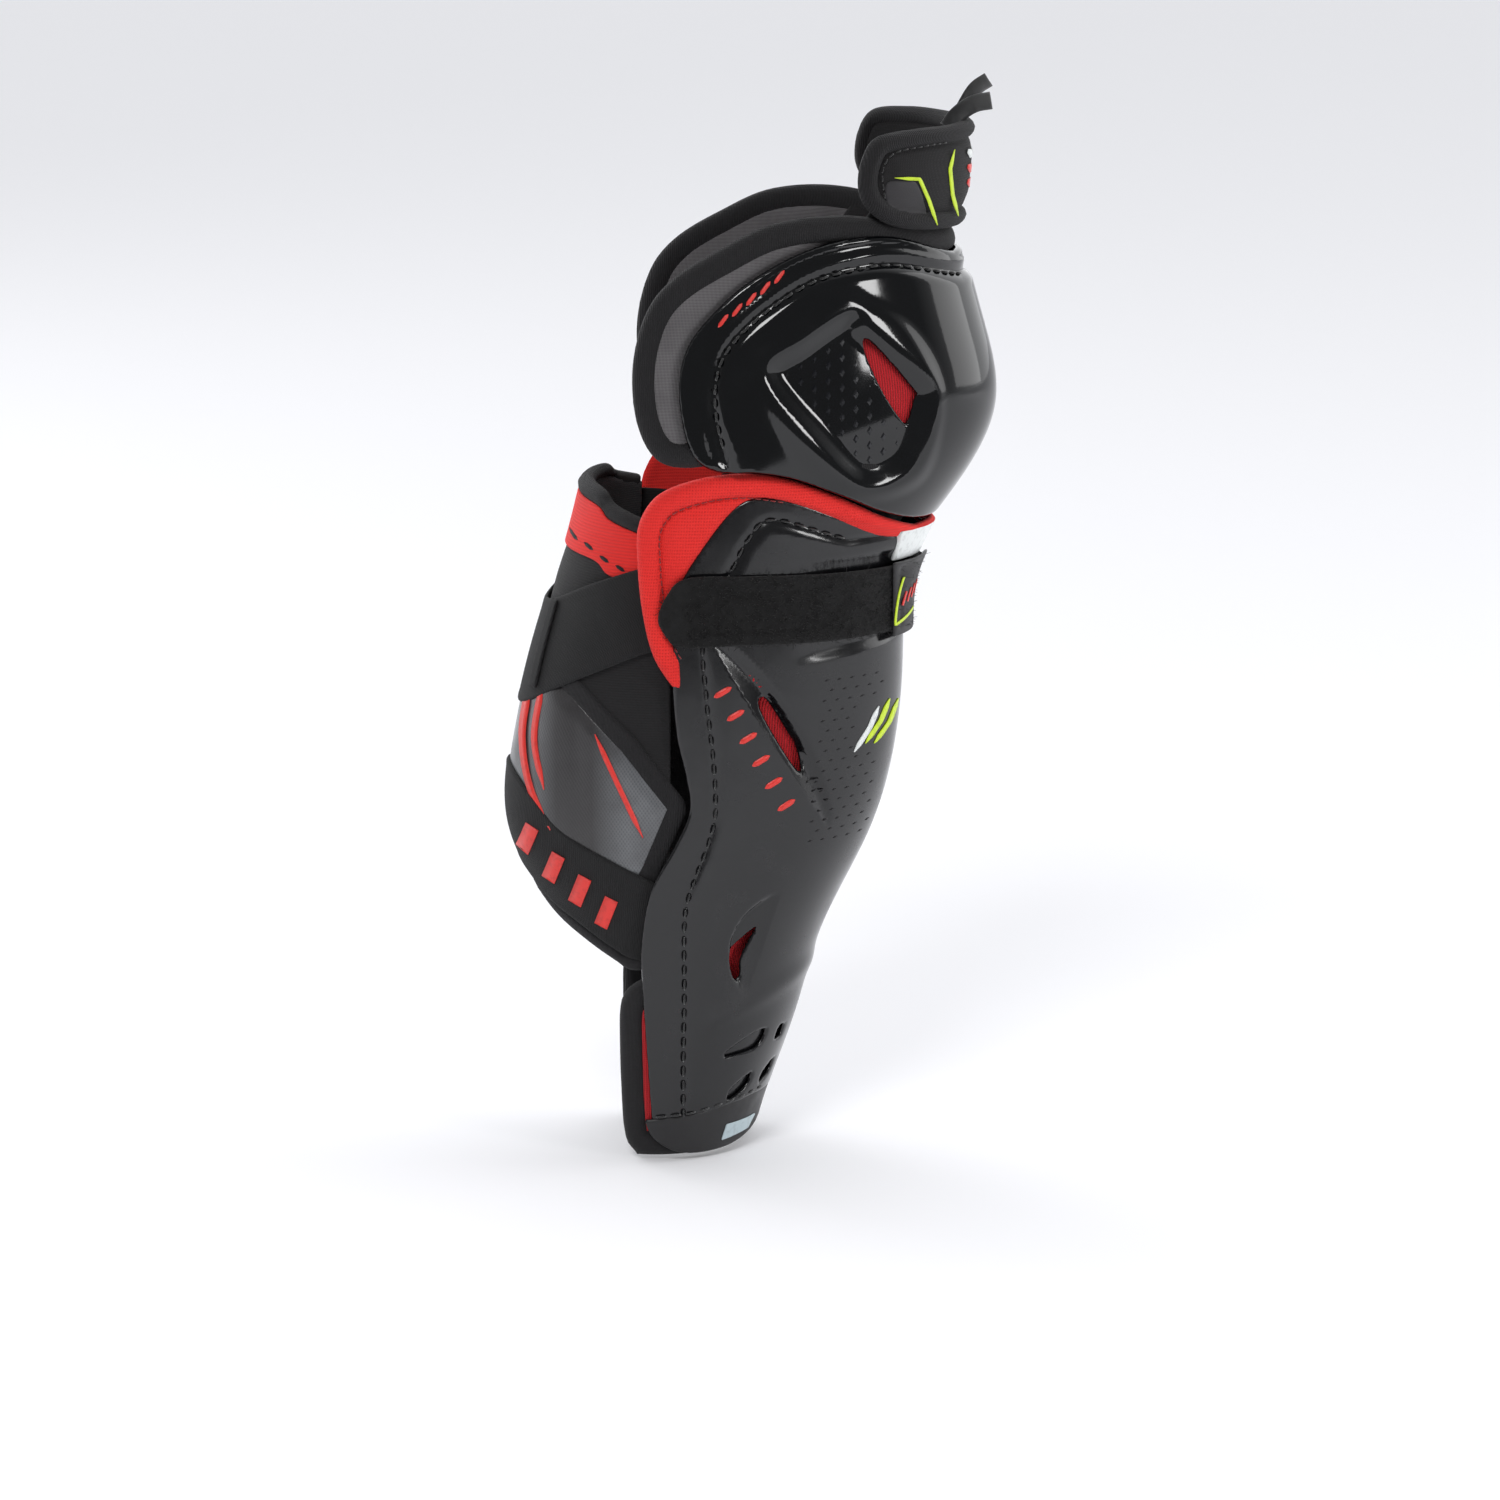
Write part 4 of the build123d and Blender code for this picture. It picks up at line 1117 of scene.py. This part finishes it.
part(
    "landing_loop_strip", "shin", ["landing_strip"], SHIN, one_side(area_of(LANDING_AREA), -1), pile_form,
    lambda x, z, a, d: 0.2 + 1.6 * (1 - ease((x - 10) / 10)), PILE_LOOK, step=1.2, angles=(-1.9, 0.2),
    z_range=(234, 272), rings=(0.4, 1.2))
add(fuzz(
    "landing_strip_fibres", SHIN, one_side(area_of(LANDING_AREA), -1), 2.3, PILE_LOOK, 2600, (-1.8, 0),
    (236, 271), 5), "shin")

TAB_AREA = np.array([(104, 235), (FAR_FRONT, 235), (FAR_FRONT, 270), (104, 270)], float)


def tab_depth(x, z, a):
    return np.minimum(depth(TAB_AREA, x, z), -np.sin(a) * 62 - 1.2)


part(
    "upper_strap_tab", "upper_tab", ["upper_tab"], SHIN, tab_depth,
    lambda x, z, a, d: 4.6 - 0.5 * np.exp(-((d - 3) / 0.7) ** 2), 2.8, TAB_LOOK, slot="elastic", step=1.2,
    angles=(-0.8, 0.05), z_range=(233, 272), rings=(0.4, 1))


def front_strip(name, path, width, out, material, body, thick=0.4):
    """A printed line given by angle (in mm round the front) and height."""
    line = resample(np.array(path, float), 1.5)
    across = across_of(line) * width / 2
    edges = line + across, line - across
    rows = [
        SHIN.place(edge[:, 0] / FRONT_RADIUS, edge[:, 1], o) for o in (out + thick, out) for edge in edges]
    add(build(name, np.vstack(rows), bar_faces(len(line)), material), body)


front_strip("tab_lime_line", [(-25.5, 262), (-27, 240.5), (-8, 245)], 1.3, 4.6, LIME_PRINT, "upper_tab")
for k in range(4):
    front_strip(
        "tab_red_mark_%d" % (k + 1), [(-22 + 4.4 * k, 248.5 + k), (-20 + 4.4 * k, 254.5 + k)], 1.5, 4.6,
        RED_PRINT, "upper_tab")

loop_area = smooth([(38, 94), (66, 92), (68, 120), (40, 123)], 1, closed=True)
part(
    "inner_loop_pad", "shin", ["inner_loop_patch"], SHIN, one_side(area_of(loop_area), 1), 1.2, -0.1,
    PILE_LOOK, angles=(0.3, 1.9), z_range=(88, 126), step=1.6)
lower_tab_area = smooth([(44.3, 92), (62, 91.5), (70, 97), (70, 115), (62, 121), (44.3, 122)], 3, closed=True)
part(
    "lower_strap_tab", "lower_tab", ["lower_tab"], SHIN, one_side(area_of(lower_tab_area), 1),
    lambda x, z, a, d: 3.0 - 0.5 * np.exp(-((d - 3) / 0.7) ** 2), 1.4, TAB_LOOK, slot="elastic",
    angles=(0.3, 1.9), z_range=(88, 126), step=1.4)


def badge_depth(x, z, a):
    width, height, centre = 33, 14, 277
    u, v = np.abs(a * FRONT_RADIUS) - width - 0.3 * (z - centre), np.abs(z - centre) - height / 2
    return -np.maximum(u * 0.97, v)


part(
    "front_badge", "shin", ["top_badge"], SHIN, badge_depth, 1.2, -1.6, WHITE_PRINT, slot="badge_plastic",
    step=1.2, angles=(-0.7, 0.7), z_range=(266, 285), rings=(0.3,))
label_area = np.array([(31, 6.5), (43, 8.5), (46.5, 14.5), (33.5, 14)], float)
part(
    "size_tag_print", "shin", ["size_label"], SHIN, one_side(area_of(label_area), -1), 0.35, -0.4, GREY_PRINT,
    slot="badge_plastic", step=1, angles=(-1.5, 0), z_range=(2, 20), rings=(0.15,))

# generic marks: slanted dashes in place of every word
marks(
    "shin_red_mark", "shin", SHIN,
    [[(28.2 + 5.6 * k, 215 - 10.6 * k), (35.8 + 5.6 * k, 219.4 - 10.6 * k)] for k in range(6)],
    2.6, BOTH, lambda x, z: shell_form(x, z, 0, 0) - 0.1, RED_PRINT, 0.35)
marks(
    "knee_red_mark", "knee", KNEE,
    [[(30.4 + 6.2 * k, 380.5 + 4.6 * k), (34.8 + 6.2 * k, 386.1 + 4.6 * k)] for k in range(5)],
    1.7, BOTH, lambda x, z: knee_form(x, z, 0, 0) - 0.1, RED_PRINT, 0.35)
for k, (start, material) in enumerate([
        ((97, 201), WHITE_PRINT), ((102, 203), LIME_PRINT), ((106, 201), LIME_PRINT)]):
    x, z = start
    add(strip(
        "shin_front_mark_%d" % (k + 1), SHIN, [(x + 4, z + 3), (x, z - 6), (x - 7, z - 16 + k)], 2.2, BOTH,
        0.05, material, 0.4), "shin")
for k in range(4):
    x = -61 + 12.5 * k
    z = 141 - 0.72 * (x + 61) + (2 if k == 0 else 0)
    add(strip(
        "strap_red_mark_%d" % (k + 1), SHIN, [(x + 4.5, z + 7), (x - 1, z - 6.5)], 6.5, (-1,), -4.4,
        RED_PRINT, 0.4, taper=False), "calf")
for k, path in enumerate([
        [(-58, 215), (-62, 190), (-58, 168), (-48, 150)], [(-52, 215), (-56, 190), (-51, 168)],
        [(-27, 196), (-18, 178), (-4, 150)]]):
    add(strip(
        "plate_red_stripe_%d" % (k + 1), SHIN, path, 3.4 - 0.5 * k, (-1,), -4.9 - 0.5 * (k == 2), RED_PRINT,
        0.35, curved=True), "calf")
dashes = [(-42, 281), (-34, 279), (-26, 275), (-18, 272), (-11, 270)]
marks(
    "band_dark_dash", "calf", SHIN, [[(x, z), (x + 4.5, z - 2.2)] for x, z in dashes], 1.6, (-1,), -5.95,
    BINDING_LOOK, 0.3)


def painted_hole_shade(name, centres, material):
    """Small dark lens-shaped patches on the shell, on both sides: painted shade in place of the dark insides
    of its small perforations.
    """
    parts = []
    outline = [(1.1, 0.25), (0, 0.5), (-1.1, -0.25), (0, -0.5)]
    for x, z in centres:
        ring = np.array([(x + du, z + dz) for du, dz in outline])
        for side in BOTH:
            vertices = np.vstack([line_points(SHIN, ring, side, 0.1), line_points(SHIN, ring, side, -0.3)])
            faces = [[0, 1, 2, 3], [7, 6, 5, 4]] + [[
                i, 4 + i, 4 + (i + 1) % 4, (i + 1) % 4] for i in range(4)]
            parts.append((vertices, [f[::side] for f in faces]))
    return joined(name, parts, material)


# Places of the painted perforation shade near the shell's front, in staggered rows.
perforation_shade_places = [
    (74 + 5.6 * i + 2.8 * (k % 2) + 0.1 * (z - 180), z) for i in range(5)
    for k, z in enumerate(np.arange(146, 222, 4.6)) if abs(z - 196) > 13 or i < 3]
# Dark binding cloth used as painted shade for the perforations.
add(painted_hole_shade("shell_painted_hole_shade", perforation_shade_places, BINDING_LOOK), "shin")


def keeper_depth(x, z, a):
    return np.minimum(3.4 - np.abs((a - math.pi - 0.42) * 58), 20 - np.abs(z - 232))


part(
    "strap_keeper_loop", "calf", ["strap_keeper"], SHIN, keeper_depth, -2.6, -4.2, ELASTIC_LOOK,
    angles=(math.pi + 0.2, math.pi + 0.7), step=1.4, z_range=(208, 256))


# ---- stretch fabric across the joints
def bridge(name, lower, low_out, upper, high_out, heights, angle, node, flute):
    """Stretch fabric from one set of sections up to the next."""
    rows = 28
    turn = np.linspace(-angle, angle, 90)
    grid = []
    for k in range(rows):
        t = k / (rows - 1)
        z = heights[0] + (heights[1] - heights[0]) * t
        wave = flute * np.sin(turn * 26) * math.sin(math.pi * t)
        a = lower.place(turn, np.full_like(turn, z), low_out + wave)
        b = upper.place(turn, np.full_like(turn, z), high_out + wave)
        grid.append(a + (b - a) * ease(t))
    face = np.vstack(grid)
    centre = np.array([20, 0, 0])
    inward = (centre - face) * np.array([1, 1, 0])
    inward /= np.linalg.norm(inward, axis=1)[:, None]
    back = face + inward * 1.4
    uv = np.stack([np.tile(turn * 70, rows), face[:, 2]], -1)
    piece = build(
        name, np.vstack([face, back]), slab_faces(rows, len(turn)), STRETCH_LOOK, uv=np.tile(uv, (2, 1)))
    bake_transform(piece)
    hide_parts(node)


bridge(
    "knee_stretch_bridge", SHIN, -13.5, KNEE, -13.0, (258, 345), 1.35,
    "knee_bridge", 0.5)
bridge(
    "thigh_stretch_bridge", KNEE, -11.8, THIGH, -9.4, (400, 436), 0.95,
    "thigh_bridge", 0.3)


# ---- stage, light and camera
def stage():
    mesh = bpy.data.meshes.new("floor")
    corners = [(x, y, -0.0005) for x, y in ((-3, -0.8), (3, -0.8), (6, 9), (-6, 9))]
    mesh.from_pydata(corners, [], [[0, 1, 2, 3]])
    floor = bpy.data.objects.new("floor", mesh)
    look = Look("pale_floor", linear(238, 238, 241), 0.9, Specular_IOR_Level=0.2, Emission_Strength=0.12)
    mesh.materials.append(look.material)
    bpy.context.scene.collection.objects.link(floor)


def softbox(name, place, target, size, power, colour=(1, 1, 1)):
    lamp = bpy.data.lights.new(name, "AREA")
    lamp.shape, lamp.size, lamp.size_y, lamp.energy, lamp.color = "RECTANGLE", size[0], size[1], power, colour
    holder = bpy.data.objects.new(name, lamp)
    holder.location = place
    holder.rotation_euler = (Vector(target) - Vector(place)).to_track_quat("-Z", "Y").to_euler()
    bpy.context.scene.collection.objects.link(holder)


def light():
    world = bpy.data.worlds.new("studio")
    world.use_nodes = True
    bpy.context.scene.world = world
    nodes, links = world.node_tree.nodes, world.node_tree.links
    background = nodes["Background"]
    ray = nodes.new("ShaderNodeSeparateXYZ")
    links.new(nodes.new("ShaderNodeTexCoord").outputs["Generated"], ray.inputs[0])
    bright = nodes.new("ShaderNodeMapRange")
    for socket, value in (("From Min", -0.25), ("From Max", 0.45), ("To Min", 0.2), ("To Max", 1.5)):
        bright.inputs[socket].default_value = value
    links.new(ray.outputs["Y"], bright.inputs[0])
    links.new(bright.outputs[0], background.inputs["Strength"])
    background.inputs["Color"].default_value = (0.93, 0.94, 0.96, 1)
    softbox("key_light", (-0.5, -1.9, 2.0), (0.04, 0, 0.3), (0.9, 0.7), 27)
    softbox("side_light", (2.4, 0.5, 1.1), (0.04, 0, 0.25), (1.4, 2.0), 13)
    softbox("dome_light", (1.85, -1.55, 0.6), (0.1, 0, 0.35), (0.5, 0.55), 12)
    softbox("back_light", (-1.6, 1.8, 1.4), (0, 0, 0.25), (1.0, 1.4), 12)


def camera():
    elevation, distance = math.radians(12), 3.3
    target = Vector((0.044, 0, 0.178))
    lens = bpy.data.cameras.new("camera")
    lens.lens, lens.sensor_width = 176.5, 36
    holder = bpy.data.objects.new("camera", lens)
    holder.location = target + distance * Vector((0, -math.cos(elevation), math.sin(elevation)))
    holder.rotation_euler = (target - holder.location).to_track_quat("-Z", "Y").to_euler()
    bpy.context.scene.collection.objects.link(holder)
    bpy.context.scene.camera = holder


stage()
light()
camera()
bpy.context.scene.view_settings.view_transform = "Standard"
